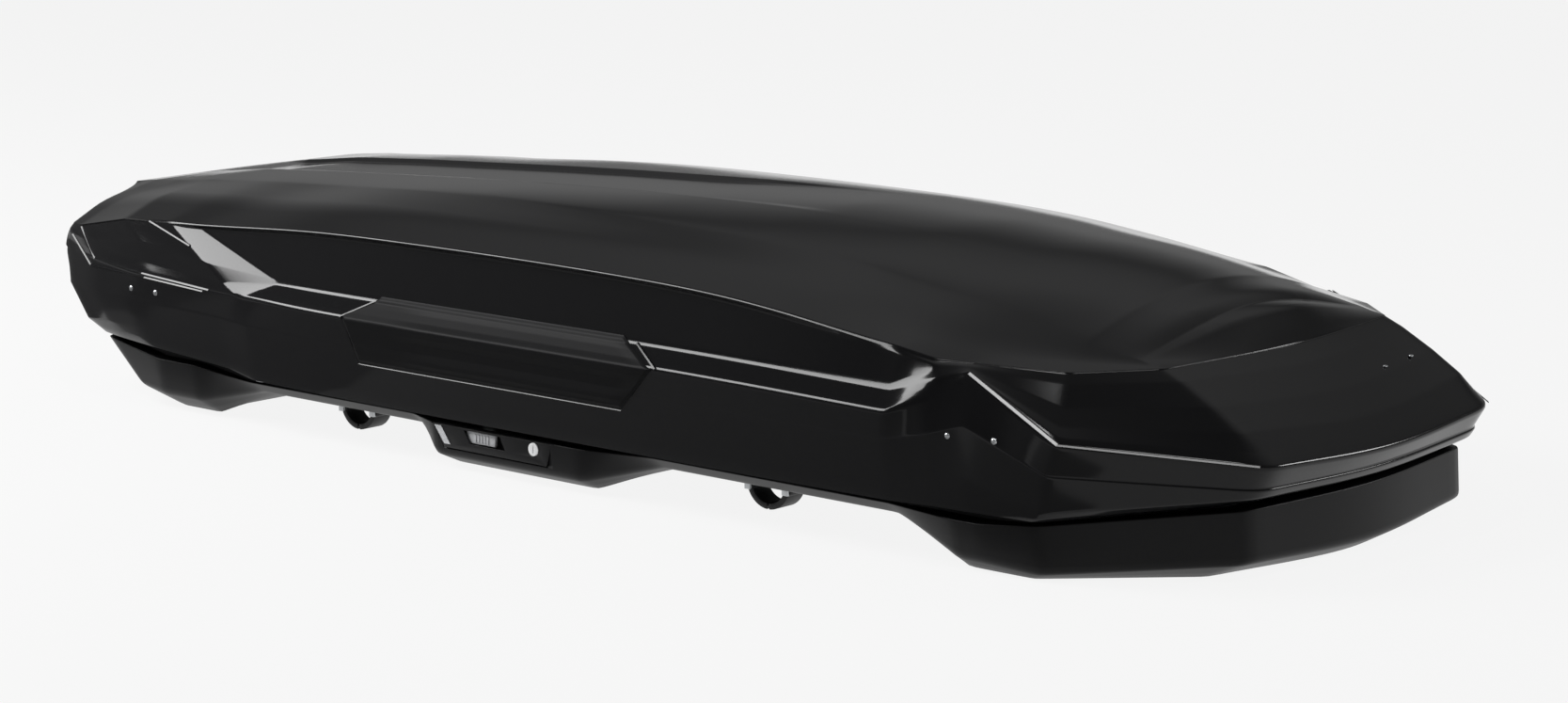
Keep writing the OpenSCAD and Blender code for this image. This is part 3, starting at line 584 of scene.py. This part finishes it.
# Share of the channel's depth along the roof and across it, and that depth
CHANNEL_LINE = [(-1060, 0), (-1000, 1), (-100, 1), (250, 0)]
CHANNEL_ACROSS = [(0, 1), (0.36, 1), (0.42, 0), (1, 0)]
CHANNEL_DEPTH = 6
# Places across the nose, the tail and the roof, close together at the channel's edges
ROOF_SHARES = np.concatenate([
    np.linspace(0, 0.34, 9), [0.36, 0.375, 0.39, 0.405, 0.42, 0.44], np.linspace(0.5, 1, 13)])

# Facet above the lip: its height, and how far it leans back at the nose and elsewhere
LIP_FACET = 3
LIP_LEAN = {NOSE_MIDDLE: (-1.8, 0), NOSE_CORNER: (-1.6, -0.6), CHEEK: (-0.6, -0.5)}
SIDE_LEAN = (0, -0.2)
# Facet inside the belt crease: its share of the ledge, its swell on the cheek, its step at the peak
NOSE_SHARE, SIDE_SHARE = 0.4, 0.6
CHEEK_SWELL = (0.4, 0.8, 1.6)
PEAK_STEP = (-2.6, -5.4, 4.6)
# Facet on the shoulder: its height along the windows and elsewhere, its slope, the crease below it
TALL_SHOULDER, LOW_SHOULDER = 2.4, 0.6
SHOULDER_SLOPE = 0.85
SHOULDER_DROP = 0.8


def with_fine_edges(sections: Sequence[Sequence[Point]]) -> list[list[Point]]:
    """Adds the narrow facets that catch the light: above the lip, inside the belt, on the shoulder.

    Args:
        sections: The lid's sections.

    Returns:
        The sections with three more points each.
    """
    made = []
    for k, section in enumerate(sections):
        rows = [list(p) for p in section]
        dx, dy = LIP_LEAN.get(k, SIDE_LEAN)
        above_lip = [rows[2][0] + dx, rows[2][1] + dy, rows[2][2] + LIP_FACET]
        belt, ledge = np.array(rows[3], float), np.array(rows[4], float)
        inside = belt + (ledge - belt) * (NOSE_SHARE if k in (NOSE_CORNER, CHEEK) else SIDE_SHARE)
        if k == CHEEK:
            inside += CHEEK_SWELL
        if k == PEAK:
            inside = belt + PEAK_STEP
        x, y, z = rows[7]
        tall = TALL_SHOULDER if k in WINDOW else LOW_SHOULDER
        shoulder = [[x, y, z - SHOULDER_DROP], [x, y - tall * SHOULDER_SLOPE, z + tall]]
        made.append([*rows[:3], above_lip, rows[3], list(inside), *rows[4:7], *shoulder, *rows[8:]])
    return made


def lid_softness(x: np.ndarray, ring: np.ndarray) -> np.ndarray:
    """Says how far the lid is eased: firm at its creases, soft at the tail, the nose and the roof.

    Args:
        x: Place along the box, in millimetres.
        ring: Section point that the row belongs to.

    Returns:
        Softness from 0 to 1.
    """
    firm = 0.03
    # Behind the pillar, and most of all below the belt crease
    tail = ramp(x, -640, -690) * (ramp(ring, 4.6, 3.6) * 0.2 + 0.06)
    # The nose's corners, below the ledge
    nose = ramp(x, 960, 1010) * ramp(ring, 6, 5) * 0.25
    # The roof above the shoulder, but for its two ends
    top = ramp(ring, 10.2, 11.2) * ramp(x, 790, 730) * ramp(x, -850, -790)
    return np.maximum(np.maximum(firm, tail), np.maximum(nose, top))


# Every section is a corner but the two middles and the two plain ones of the side
LID_LINES = BodyLines(
    with_fine_edges(LID_SECTIONS), frozenset({1, 2, 3, 4, 5, 8, 9, 10, 11, 12, 13}),
    [0, 3, 2, 2, 6, 2, 3, 3, 3, 1.5, 2, 30, 0])


def roof(ridge: np.ndarray, share: float) -> float:
    """Gives the height of the roof between its ridges.

    Args:
        ridge: A point of the ridge, in millimetres.
        share: Share of the way from the middle of the roof to that point.

    Returns:
        The height in millimetres.
    """
    dome = max(0.0, 1 - share * share) ** along(ridge[0], DOME_LINE)
    groove = CHANNEL_DEPTH * along(share, CHANNEL_ACROSS) * along(ridge[0], CHANNEL_LINE)
    return ridge[2] + (along(ridge[0], ROOF_LINE) - ridge[2]) * dome - groove


@dataclass(frozen=True)
class Lid:
    """The moulded lid.

    Attributes:
        wall: Thickness of the sheet, in metres.
        spacing: Distance between the skin's columns, in millimetres.
    """

    wall: float = 0.0035
    spacing: float = 7.0

    def build(self) -> None:
        """Makes the lid's skin in place of the CAD's shell."""
        skin = Skin(LID_LINES, roof, ROOF_SHARES, self.spacing, lid_softness)
        obj = mesh_object("lid_skin", *skin.mesh(), GLOSS_ABS)
        thicken(obj, self.wall)
        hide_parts("lid_shell")
        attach(obj, "lid")


# ---- Base ----
# Profiles of the side wall: rim, wall foot, shelf, keel, floor edge
SADDLE_SIDE = [(402, 112), (402, 66), (406, 64), (382, 46), (350, 45)]
LOCK_SIDE = [(402, 112), (402, 66), (428, 64), (424, 20), (386, 3)]
DROP_SIDE = [(402, 112), (402, 66), (424, 64), (415, 17), (390, 0)]
FOOT_SIDE = [(402, 112), (402, 80), (420, 78), (412, 26), (368, 0)]


def side_section(x: float, profile: Pairs) -> list[Point]:
    """A section of the base across the box at x."""
    return [(x, y, z) for y, z in profile]


# Sections from nose to tail, with the same five points
BASE_SECTIONS = [
    [(1019, 0, 112), (1022, 0, 88), (1044, 0, 87), (1050, 0, 18), (1018, 0, 0)],
    [(999, 240, 112), (1002, 241, 90), (1024, 245, 89), (1028, 245, 24), (970, 244, 0)],
    [(816, 396, 112), (820, 398, 70), (833, 406, 69.5), (840, 404, 11), (820, 389, 0)],
    side_section(760, DROP_SIDE),
    side_section(720, DROP_SIDE),
    side_section(605, SADDLE_SIDE),
    side_section(205, SADDLE_SIDE),
    side_section(92, LOCK_SIDE),
    side_section(-182, LOCK_SIDE),
    side_section(-245, SADDLE_SIDE),
    side_section(-590, SADDLE_SIDE),
    side_section(-700, FOOT_SIDE),
    side_section(-780, FOOT_SIDE),
    [(-905, 378, 112), (-905, 380, 94), (-930, 394, 92), (-848, 399, 30), (-806, 364, 2)],
    [(-955, 225, 112), (-953, 226, 98), (-962, 228, 96), (-885, 228, 36), (-835, 226, 3)],
    [(-958, 0, 112), (-956, 0, 98), (-965, 0, 96), (-888, 0, 36), (-838, 0, 3)],
]
# Every section is a corner but the two middles
BASE_LINES = BodyLines(BASE_SECTIONS, frozenset(range(1, len(BASE_SECTIONS) - 1)), [0, 1.5, 2, 9, 0])
BASE_SOFTNESS = 0.04
# Places across the nose, the tail and the floor
FLOOR_SHARES = np.linspace(0, 1, 14)
# Faces of a block whose corners are ordered by end, then width, then height
BLOCK_FACES = ((0, 1, 3, 2), (4, 6, 7, 5), (0, 4, 5, 1), (2, 3, 7, 6), (0, 2, 6, 4), (1, 5, 7, 3))


def floor_patch(edge: np.ndarray, share: float) -> float:
    """Height of the floor at a share of the way from the middle to its edge: flat across."""
    return edge[2]


def base_softness(x: np.ndarray, ring: np.ndarray) -> np.ndarray:
    """How far the base is eased: the same all over."""
    return np.full(np.broadcast(x, ring).shape, BASE_SOFTNESS)


@dataclass(frozen=True)
class Opening:
    """A block that is cut out of the tray on both sides, in millimetres.

    Attributes:
        lower: Its ends along the box at its bottom.
        upper: Its ends along the box at its top.
        heights: Its bottom and top.
        out: Distance of its middle from the middle plane.
        reach: Half its width.
    """

    lower: tuple[float, float]
    upper: tuple[float, float]
    heights: tuple[float, float]
    out: float
    reach: float

    def block(self, side: Side) -> list[Point]:
        """Gives the block's corners.

        Args:
            side: The side it is cut on.

        Returns:
            Eight points, by end, then width, then height.
        """
        middle = side.value * self.out
        ends = tuple(zip(self.lower, self.upper))
        return [(end[k], middle + w * self.reach, self.heights[k])
                for end in ends for w in (-1, 1) for k in (0, 1)]


@dataclass(frozen=True)
class Base:
    """The moulded tray.

    Attributes:
        wall: Thickness of the sheet, in metres.
        spacing: Distance between the skin's columns, in millimetres.
        recess: Recess behind each lock plate.
        slots: Slots for the clamp bolts.
    """

    wall: float = 0.0035
    spacing: float = 9.0
    recess: Opening = Opening((-160.5, 36.5), (-182.5, 46.5), (31.5, 63.5), 440, 25)
    slots: tuple[Opening, ...] = (
        Opening((278, 552), (278, 552), (20, 60), 330, 5),
        Opening((-509, -298), (-509, -298), (20, 60), 330, 5))

    def build(self) -> None:
        """Makes the tray's skin in place of the CAD's shell."""
        skin = Skin(BASE_LINES, floor_patch, FLOOR_SHARES, self.spacing, base_softness)
        points, faces = skin.mesh()
        obj = mesh_object("tray_skin", points, [f[::-1] for f in faces], SATIN_ABS)
        self._open(obj)
        thicken(obj, self.wall)
        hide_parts("base_shell")
        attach(obj, "base")

    def _open(self, obj: bpy.types.Object) -> None:
        """Cuts the lock recesses and the bolt slots with exact flat-sided cutters.

        Args:
            obj: The tray's skin.
        """
        points, faces = [], []
        for opening in (self.recess, *self.slots):
            for side in Side:
                faces += [[len(points) + n for n in f] for f in BLOCK_FACES]
                points += opening.block(side)
        cutter = mesh_object("tray_cutters", np.array(points) * MM, faces, SATIN_ABS)
        cut = obj.modifiers.new("openings", "BOOLEAN")
        cut.operation, cut.object, cut.solver = "DIFFERENCE", cutter, "EXACT"
        bpy.context.view_layer.objects.active = obj
        bpy.ops.object.modifier_apply(modifier=cut.name)
        bpy.data.objects.remove(cutter)


# ---- Moulded lines ----
@dataclass(frozen=True)
class MouldedLine:
    """A thin raised line on the lid's side, with one flat flank that catches the light.

    Attributes:
        name: Its name, to which the side is added.
        path: Points of the line on the left half of the skin, in millimetres.
        width: Width of the lit flank.
        proud: How far its lower edge stands out.
        facing: Direction that the lit flank faces on the left side.
        sunk: How deep its hidden edges sit in the lid.
        lap: How far its hidden flanks reach past the lit one.
    """

    name: str
    path: Sequence[Point]
    width: float
    proud: float
    facing: Point = (0.13, 0.78, 0.61)
    sunk: float = 1.0
    lap: float = 0.5

    def build(self, side: Side) -> None:
        """Adds the line to one side of the lid.

        Args:
            side: The side.
        """
        path = np.array(self.path, float)
        runs = np.diff(path, axis=0)
        runs /= np.linalg.norm(runs, axis=1)[:, None]
        facing = np.array(self.facing) / np.linalg.norm(self.facing)
        points, faces = [], []
        for a, b, run in zip(path[:-1], path[1:], runs):
            across = np.cross(run, facing)
            across /= np.linalg.norm(across)
            if across[2] < 0 or (abs(across[2]) < 0.5 and across[0] < 0):
                across = -across
            start = len(points)
            for p in (a, b):
                foot, low = p - [0, self.sunk, 0], p + [0, self.proud, 0]
                points += [foot - across * self.lap, low, low + across * self.width,
                           foot + across * (self.width + self.lap)]
            faces += [[start + c, start + 4 + c, start + 5 + c, start + 1 + c] for c in range(3)]
        name = f"{self.name}_{side.label}"
        obj = mesh_object(name, np.array(points) * [1, side.value, 1] * MM, faces, GLOSS_ABS)
        obj.data.polygons.foreach_set("use_smooth", [False] * len(faces))
        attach(obj, "lid")


GRIP_FACING = (0.02, 0.805, 0.59)
LINES = (
    MouldedLine(
        "quarter_sill",
        ((-626, 447.2, 200), (-786, 439.6, 207), (-918, 421.9, 213.5), (-976, 400, 254)), 2.4, 1.8),
    MouldedLine(
        "quarter_frame",
        ((-640, 446.4, 196.5), (-780, 439.8, 201.5), (-929, 421.4, 203), (-1000, 398.5, 240)), 2.2, 1.7),
    MouldedLine("quarter_head", ((-800, 410.8, 280), (-862, 407.8, 277), (-978, 399.8, 256)), 1.6, 1.2),
    MouldedLine("quarter_front", ((-800, 411, 280), (-690, 427.2, 256)), 2.2, 1.7),
    MouldedLine("cheek_crest", ((727, 403, 240), (869, 416, 173.5)), 4.0, 1.2, (0.3, 0.594, 0.746)),
    MouldedLine("deck_edge", ((869, 416.2, 173.2), (1053, 262.9, 148.2)), 2.4, 0.7, (0.57, 0.59, 0.57)),
    MouldedLine("grip_front", ((207, 431.5, 219), (262, 456.8, 195.5)), 2.2, 1.7, GRIP_FACING),
    MouldedLine(
        "grip_frame",
        ((-286, 431, 220), (-334, 456.4, 196), (-310.5, 444.8, 131.5), (-304, 444.6, 130.8),
         (192, 444.6, 130.8)), 2.2, 1.8, GRIP_FACING),
)


# ---- Grip panels ----
@dataclass(frozen=True)
class GripPanel:
    """Sculpted panel on the side that the fingers close on, in millimetres.

    Attributes:
        side: The side it is on.
        rear: Rear outline, as (z, x) pairs.
        front: Front outline, as (z, x) pairs.
        skin: The lid's side behind the panel, as (z, y) pairs.
        ribs: Ribs and hollows, as (z, height) pairs.
        foot: Height of its lower edge.
        head: Height of its upper edge.
        plate: How far the panel stands out.
        clear: How far its very edge stands off the lid.
        edge_run: Width of its rounded edge.
        rib_run: Length over which the ribs run out at that edge.
        plain: Share of the ribs' height that is left towards the ends.
        rear_rise: Where the ribs start to rise at the rear, and over what length.
        front_fall: Length over which they fall at the front.
        rows: How many rows of points it has.
        wide: How many points are in a row.
    """

    side: Side
    rear: Pairs = ((133.5, -308), (200, -330), (218, -291), (227, -278))
    front: Pairs = ((133.5, 193), (194, 256), (217, 196), (227, 180))
    skin: Pairs = ((74, 435), (194, 457), (197, 456), (218, 431), (227, 427.6))
    ribs: Pairs = (
        (133, 0), (139, -0.8), (146, 1.6), (151, 1.2), (162, -2.2), (174, -2.0), (184, 1.0),
        (190, 1.7), (195, 1.5), (203, -1.6), (212, -1.2), (218, 0.6), (227, 0))
    foot: float = 133.5
    head: float = 226.6
    plate: float = 2.6
    clear: float = 0.4
    edge_run: float = 5
    rib_run: float = 8
    plain: float = 0.25
    rear_rise: tuple[float, float] = (-250, 90)
    front_fall: float = 34
    rows: int = 100
    wide: int = 241

    def _row(self, z: float) -> list[Point]:
        """Lays one row of the panel's points.

        Args:
            z: Height of the row.

        Returns:
            The row's points, from rear to front.
        """
        x0, x1 = along(z, self.rear), along(z, self.front)
        start, length = self.rear_rise
        row = []
        for u in np.linspace(0, 1, self.wide):
            x = x0 + (x1 - x0) * u
            inside = min(x - x0, x1 - x, z - self.foot, self.head - z)
            sculpted = smooth((x - start) / length) * smooth((x1 - x) / self.front_fall)
            ribs = along(z, self.ribs) * (self.plain + (1 - self.plain) * sculpted)
            out = self.clear + self.plate * smooth(inside / self.edge_run)
            out += ribs * smooth(inside / self.rib_run)
            row.append((x, self.side.value * (along(z, self.skin) + out), z))
        return row

    def build(self) -> None:
        """Makes the panel in place of the CAD's."""
        name = self.side.label
        points = [p for z in np.linspace(self.foot, self.head, self.rows) for p in self._row(z)]
        faces = []
        for low in range(0, (self.rows - 1) * self.wide, self.wide):
            for p in range(low, low + self.wide - 1):
                faces.append([p, p + 1, p + self.wide + 1, p + self.wide])
        if self.side is Side.LEFT:
            faces = [f[::-1] for f in faces]
        panel = mesh_object(f"grip_{name}", np.array(points) * MM, faces, GRAINED_ABS)
        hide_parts(f"handle_panel_{name}")
        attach(panel, "lid")


# ---- Small trim that the CAD leaves out ----
@dataclass(frozen=True)
class DeckRivet:
    """A small domed rivet on the nose deck.

    Attributes:
        place: Where its head sits, in metres.
        radius: Radius of its head.
        dome: Height of its head as a share of the radius.
    """

    place: Point
    radius: float = 0.0032
    dome: float = 0.5

    def build(self, count: int) -> None:
        """Adds the rivet to the lid.

        Args:
            count: Its number, from 1.
        """
        bpy.ops.mesh.primitive_uv_sphere_add(
            segments=24, ring_count=12, radius=self.radius, location=self.place)
        obj = bpy.context.object
        obj.name = f"deck_rivet_{count}"
        obj.scale = (1, 1, self.dome)
        obj.data.materials.append(ZINC_STEEL.material())
        for p in obj.data.polygons:
            p.use_smooth = True
        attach(obj, "lid")
        log.info("%s: %d faces", obj.name, len(obj.data.polygons))


DECK_RIVETS = (DeckRivet((0.985, 0.12, 0.2075)), DeckRivet((0.98, 0.19, 0.2105)))


@dataclass(frozen=True)
class LockStripe:
    """The slanted pale strip at the rear end of a lock cover, in millimetres.

    Attributes:
        side: The side it is on.
        corners: Its outline as (x, z).
        plane: Distance of its face from the middle plane.
        depth: Its thickness.
    """

    side: Side
    corners: Pairs = ((-179, 61), (-166, 61), (-148, 37), (-160, 37))
    plane: float = 427.9
    depth: float = 1.2

    def build(self) -> None:
        """Adds the strip to the base."""
        points = [(x, self.side.value * plane, z)
                  for plane in (self.plane, self.plane - self.depth) for x, z in self.corners]
        faces = [[0, 1, 2, 3], [7, 6, 5, 4]]
        faces += [[i, i + 4, (i + 1) % 4 + 4, (i + 1) % 4] for i in range(4)]
        if self.side is Side.LEFT:
            faces = [f[::-1] for f in faces]
        name = f"lock_stripe_{self.side.label}"
        obj = mesh_object(name, np.array(points) * MM, faces, GREY_ACETAL)
        obj.data.polygons.foreach_set("use_smooth", [False] * len(faces))
        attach(obj, "base")


# ---- The CAD's own fittings ----
@dataclass(frozen=True)
class Fittings:
    """A group of fittings that the CAD makes and that are dressed here.

    Attributes:
        group: What the group is.
        finishes: A finish for each start of a node's name.
        sharp: Nodes whose edges stay as they are.
        edge: Width of the softened edges, in metres.
        weld: Distance under which the CAD's points are one, in metres.
        crease: Turn above which an edge is softened, in degrees.
    """

    group: str
    finishes: dict[str, Finish]
    sharp: frozenset[str] = frozenset()
    edge: float = 0.0005
    weld: float = 0.00002
    crease: float = 35

    def _soften(self, obj: bpy.types.Object) -> None:
        """Rounds a fitting's edges.

        Args:
            obj: The fitting.
        """
        weld = obj.modifiers.new("weld", "WELD")
        weld.merge_threshold = self.weld
        bevel = obj.modifiers.new("soft_edges", "BEVEL")
        bevel.width, bevel.segments, bevel.limit_method = self.edge, 2, "ANGLE"
        bevel.angle_limit = math.radians(self.crease)
        bevel.harden_normals = True
        for p in obj.data.polygons:
            p.use_smooth = True

    def dress(self, nodes: dict[str, bpy.types.Object]) -> None:
        """Gives each of the group's nodes its finish and softened edges.

        Args:
            nodes: The CAD's nodes by name.
        """
        for name, obj in nodes.items():
            for start, finish in self.finishes.items():
                if name.startswith(start):
                    obj.data.materials.clear()
                    obj.data.materials.append(finish.material())
                    if name not in self.sharp:
                        self._soften(obj)
                    log.info("%s, %s: %s", self.group, name, finish.name)


FITTINGS = (
    Fittings("rails", {
        "mounting_rails": MILL_ALUMINIUM, "rail_end_caps": GLASS_NYLON, "base_edge_trim": EPDM_RUBBER}),
    Fittings("clamps", {
        "clamp_pads": EPDM_RUBBER, "clamp_carriers": ZINC_STEEL, "clamp_housing": GLASS_NYLON,
        "clamp_knob": SOFT_ELASTOMER, "claw": GLASS_NYLON}),
    Fittings("locks", {
        "pin_cradles": ZINC_STEEL, "lock_bar": ZINC_STEEL, "lock_plate": MATTE_ABS,
        "slide_button": GREY_ACETAL, "key_cylinder": BRUSHED_NICKEL, "pin_brackets": ZINC_STEEL,
        "striker_pins": ZINC_STEEL}),
    Fittings("lid", {"lid_beam": MILL_ALUMINIUM, "handle_pull": GLASS_NYLON, "rivets": ZINC_STEEL}),
    Fittings("lifters", {
        "lifter_brackets": ZINC_STEEL, "lifter_springs": ZINC_STEEL, "lifter_arm": POWDER_STEEL,
        "lifter_rests": ZINC_STEEL}, sharp=frozenset({"lifter_springs"})),
)


# ---- Stage, lamps and camera ----
@dataclass(frozen=True)
class Lamp:
    """A soft lamp.

    Attributes:
        name: What it does.
        place: Where it is, in metres.
        aim: The point it looks at.
        size: Its width and height.
        power: Its power in watts.
    """

    name: str
    place: Point
    aim: Point
    size: tuple[float, float]
    power: float

    def build(self) -> None:
        """Adds the lamp."""
        data = bpy.data.lights.new(self.name, "AREA")
        data.shape, data.size, data.size_y, data.energy = "RECTANGLE", *self.size, self.power
        obj = bpy.data.objects.new(self.name, data)
        bpy.context.scene.collection.objects.link(obj)
        obj.location = self.place
        obj.rotation_mode = "QUATERNION"
        obj.rotation_quaternion = (Vector(self.aim) - Vector(self.place)).to_track_quat("-Z", "Y")
        log.info("%s: %g W", self.name, self.power)


LAMPS = (
    Lamp("side_crease_strip", (-3.0, -2.1, 2.7), (-3.0, -0.44, 0.2), (4.0, 1.45), 300),
    Lamp("nose_crease_strip", (2.99, 2.59, 1.46), (1.05, 0, 0.13), (1.2, 0.5), 36),
    Lamp("deck_edge_softbox", (2.65, -1.28, 3.07), (0.965, -0.335, 0.16), (0.8, 0.5), 22),
    Lamp("chamfer_softbox", (0.44, -0.88, 3.17), (0.8, -0.41, 0.2), (0.5, 0.22), 12),
)


@dataclass(frozen=True)
class FloorFlag:
    """A grey cloth on the floor that only reflections see, so that the sides stay dark.

    Attributes:
        rear: Its rear edge along X, in metres.
        front: Its front edge along X.
        left: Its left edge along Y.
        shade: Its colour.
        right: Its right edge along Y.
        height: How high it lies above the floor.
    """

    rear: float
    front: float
    left: float
    shade: str
    right: float = -2.2
    height: float = 0.004

    def build(self) -> None:
        """Adds the cloth."""
        ends = ((self.rear, self.right), (self.front, self.right), (self.front, self.left),
                (self.rear, self.left))
        cloth = Finish(f"grey_woven_cloth_{self.shade[1:3]}", self.shade, 0.9, specular=0.0)
        corners = np.array([(x, y, self.height) for x, y in ends])
        flag = mesh_object("floor_flag", corners, [[0, 1, 2, 3]], cloth)
        flag.visible_camera = flag.visible_shadow = flag.visible_diffuse = False
        flag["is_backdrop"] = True


FLOOR_FLAGS = (
    FloorFlag(-4, -1.3, 1.6, "#4a4a4a"),
    FloorFlag(-1.3, -0.5, -0.47, "#6c6c6c"),
    FloorFlag(-0.5, 1, -0.47, "#929292"),
)


@dataclass(frozen=True)
class Stage:
    """Floor and surroundings.

    Attributes:
        pale: Colour of the floor and of all that the camera sees behind the object.
        even: Share of that colour that the floor shows evenly; the rest takes the shadow.
        half: Half the floor's width, in metres.
        light: Level of the surroundings overhead.
        horizon: Level of the surroundings at the horizon.
        fall: Heights between which the one turns into the other, from 0 level to 1 overhead.
        glow: Extra level high up on the left side.
        glow_up: Heights between which it comes in.
        glow_across: Directions to the left between which it comes in.
        haze: Share of the level that is left right at the horizon.
        haze_up: Heights between which that share grows to the whole.
    """

    pale: str = "#f6f6f6"
    even: float = 0.96
    half: float = 30.0
    light: float = 0.07
    horizon: float = 0.4
    fall: tuple[float, float] = (0.0, 0.4)
    glow: float = 0.3
    glow_up: tuple[float, float] = (0.38, 0.65)
    glow_across: tuple[float, float] = (-0.15, 0.6)
    haze: float = 0.35
    haze_up: tuple[float, float] = (0.0, 0.16)

    def build(self) -> None:
        """Adds the floor, the cloths on it and the world."""
        self._floor()
        for flag in FLOOR_FLAGS:
            flag.build()
        self._world()

    def _floor(self) -> None:
        """Adds the floor: camera and reflections see it nearly even, light falls on it as paint."""
        h = self.half
        corners = np.array([(-h, -h, 0), (h, -h, 0), (h, h, 0), (-h, h, 0)])
        paint = Finish("pale_matte_paint", self.pale, 0.9, specular=0.0)
        floor = mesh_object("floor", corners, [[0, 1, 2, 3]], paint)
        tree = floor.data.materials[0].node_tree
        out = next(n for n in tree.nodes if n.type == "OUTPUT_MATERIAL")
        matt = next(n for n in tree.nodes if n.type == "BSDF_PRINCIPLED")
        path = add_node(tree, "ShaderNodeLightPath")
        seen = add_node(tree, "ShaderNodeMath", {"operation": "MAXIMUM"}, {
            0: path.outputs["Is Camera Ray"], 1: path.outputs["Is Glossy Ray"]})
        share = add_node(tree, "ShaderNodeMath", {"operation": "MULTIPLY"}, {
            0: seen.outputs[0], 1: self.even})
        glow = add_node(tree, "ShaderNodeEmission", inputs={
            "Color": linear(self.pale), "Strength": 1.0})
        mix = add_node(tree, "ShaderNodeMixShader", inputs={
            0: share.outputs[0], 1: matt.outputs["BSDF"], 2: glow.outputs["Emission"]})
        tree.links.new(mix.outputs["Shader"], out.inputs["Surface"])
        floor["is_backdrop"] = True

    def _world(self) -> None:
        """Adds the world: pale behind the object, graded grey for light and reflections."""
        world = bpy.data.worlds.new("studio")
        bpy.context.scene.world = world
        world.use_nodes = True
        tree = world.node_tree
        tree.nodes.clear()
        path = add_node(tree, "ShaderNodeLightPath")
        place = add_node(tree, "ShaderNodeTexCoord")
        parts = add_node(tree, "ShaderNodeSeparateXYZ", inputs={0: place.outputs["Generated"]})
        grades = {}
        for name, axis, (start, stop), low, high in (
            ("sky", "Z", self.fall, self.horizon, self.light),
            ("up", "Z", self.glow_up, 0.0, self.glow),
            ("across", "Y", self.glow_across, 0.0, 1.0),
            ("haze", "Z", self.haze_up, self.haze, 1.0),
        ):
            grade = add_node(tree, "ShaderNodeMapRange", inputs={
                "Value": parts.outputs[axis], "From Min": start, "From Max": stop,
                "To Min": low, "To Max": high})
            grades[name] = grade.outputs["Result"]
        lit = add_node(tree, "ShaderNodeMath", {"operation": "MULTIPLY_ADD"}, {
            0: grades["up"], 1: grades["across"], 2: grades["sky"]})
        level = add_node(tree, "ShaderNodeMath", {"operation": "MULTIPLY"}, {
            0: lit.outputs[0], 1: grades["haze"]})
        plain = add_node(tree, "ShaderNodeBackground", inputs={
            "Color": (1, 1, 1, 1), "Strength": level.outputs[0]})
        shown = add_node(tree, "ShaderNodeBackground", inputs={
            "Color": linear(self.pale), "Strength": 1.0})
        mix = add_node(tree, "ShaderNodeMixShader", inputs={
            0: path.outputs["Is Camera Ray"], 1: plain.outputs["Background"],
            2: shown.outputs["Background"]})
        add_node(tree, "ShaderNodeOutputWorld", inputs={"Surface": mix.outputs["Shader"]})


@dataclass(frozen=True)
class Camera:
    """The camera, by the direction it stands in from the box.

    Attributes:
        target: The point it looks at, in metres.
        azimuth: Direction in degrees, 0 on the right side and 90 in front.
        elevation: Height above the horizon in degrees.
        distance: Distance from the target.
        lens: Focal length in millimetres.
        sensor: Width of the sensor in millimetres.
        clip: Nearest and farthest distance it shows.
    """

    target: Point = (0.0827, 0.0, 0.1344)
    azimuth: float = 41.088
    elevation: float = 10.351
    distance: float = 4.9605
    lens: float = 80.984
    sensor: float = 36
    clip: tuple[float, float] = (0.05, 100)

    def build(self) -> None:
        """Adds the camera and makes it the scene's."""
        data = bpy.data.cameras.new("camera")
        data.sensor_width, data.lens = self.sensor, self.lens
        data.clip_start, data.clip_end = self.clip
        obj = bpy.data.objects.new("camera", data)
        bpy.context.scene.collection.objects.link(obj)
        a, e = math.radians(self.azimuth), math.radians(self.elevation)
        back = Vector((math.sin(a) * math.cos(e), -math.cos(a) * math.cos(e), math.sin(e)))
        obj.location = Vector(self.target) + back * self.distance
        obj.rotation_mode = "QUATERNION"
        obj.rotation_quaternion = (-back).to_track_quat("-Z", "Y")
        bpy.context.scene.camera = obj


def box_now() -> list[list[float]]:
    """Measures the shown object's box.

    Returns:
        Its two corners.
    """
    bpy.context.view_layer.update()
    low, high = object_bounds()
    return [list(low), list(high)]


def main() -> None:
    """Builds the whole scene."""
    before = box_now()
    Camera().build()
    Stage().build()
    for lamp in LAMPS:
        lamp.build()
    bpy.context.scene.view_settings.view_transform = "Standard"
    Lid().build()
    Base().build()
    for side in Side:
        GripPanel(side).build()
    for count, rivet in enumerate(DECK_RIVETS, 1):
        rivet.build(count)
    for side in Side:
        LockStripe(side).build()
        for line in LINES:
            line.build(side)
    for fittings in FITTINGS:
        fittings.dress(frame["nodes"])
    {"cad": before, "shown": box_now()}


if __name__ == "__main__":
    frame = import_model()
    main()
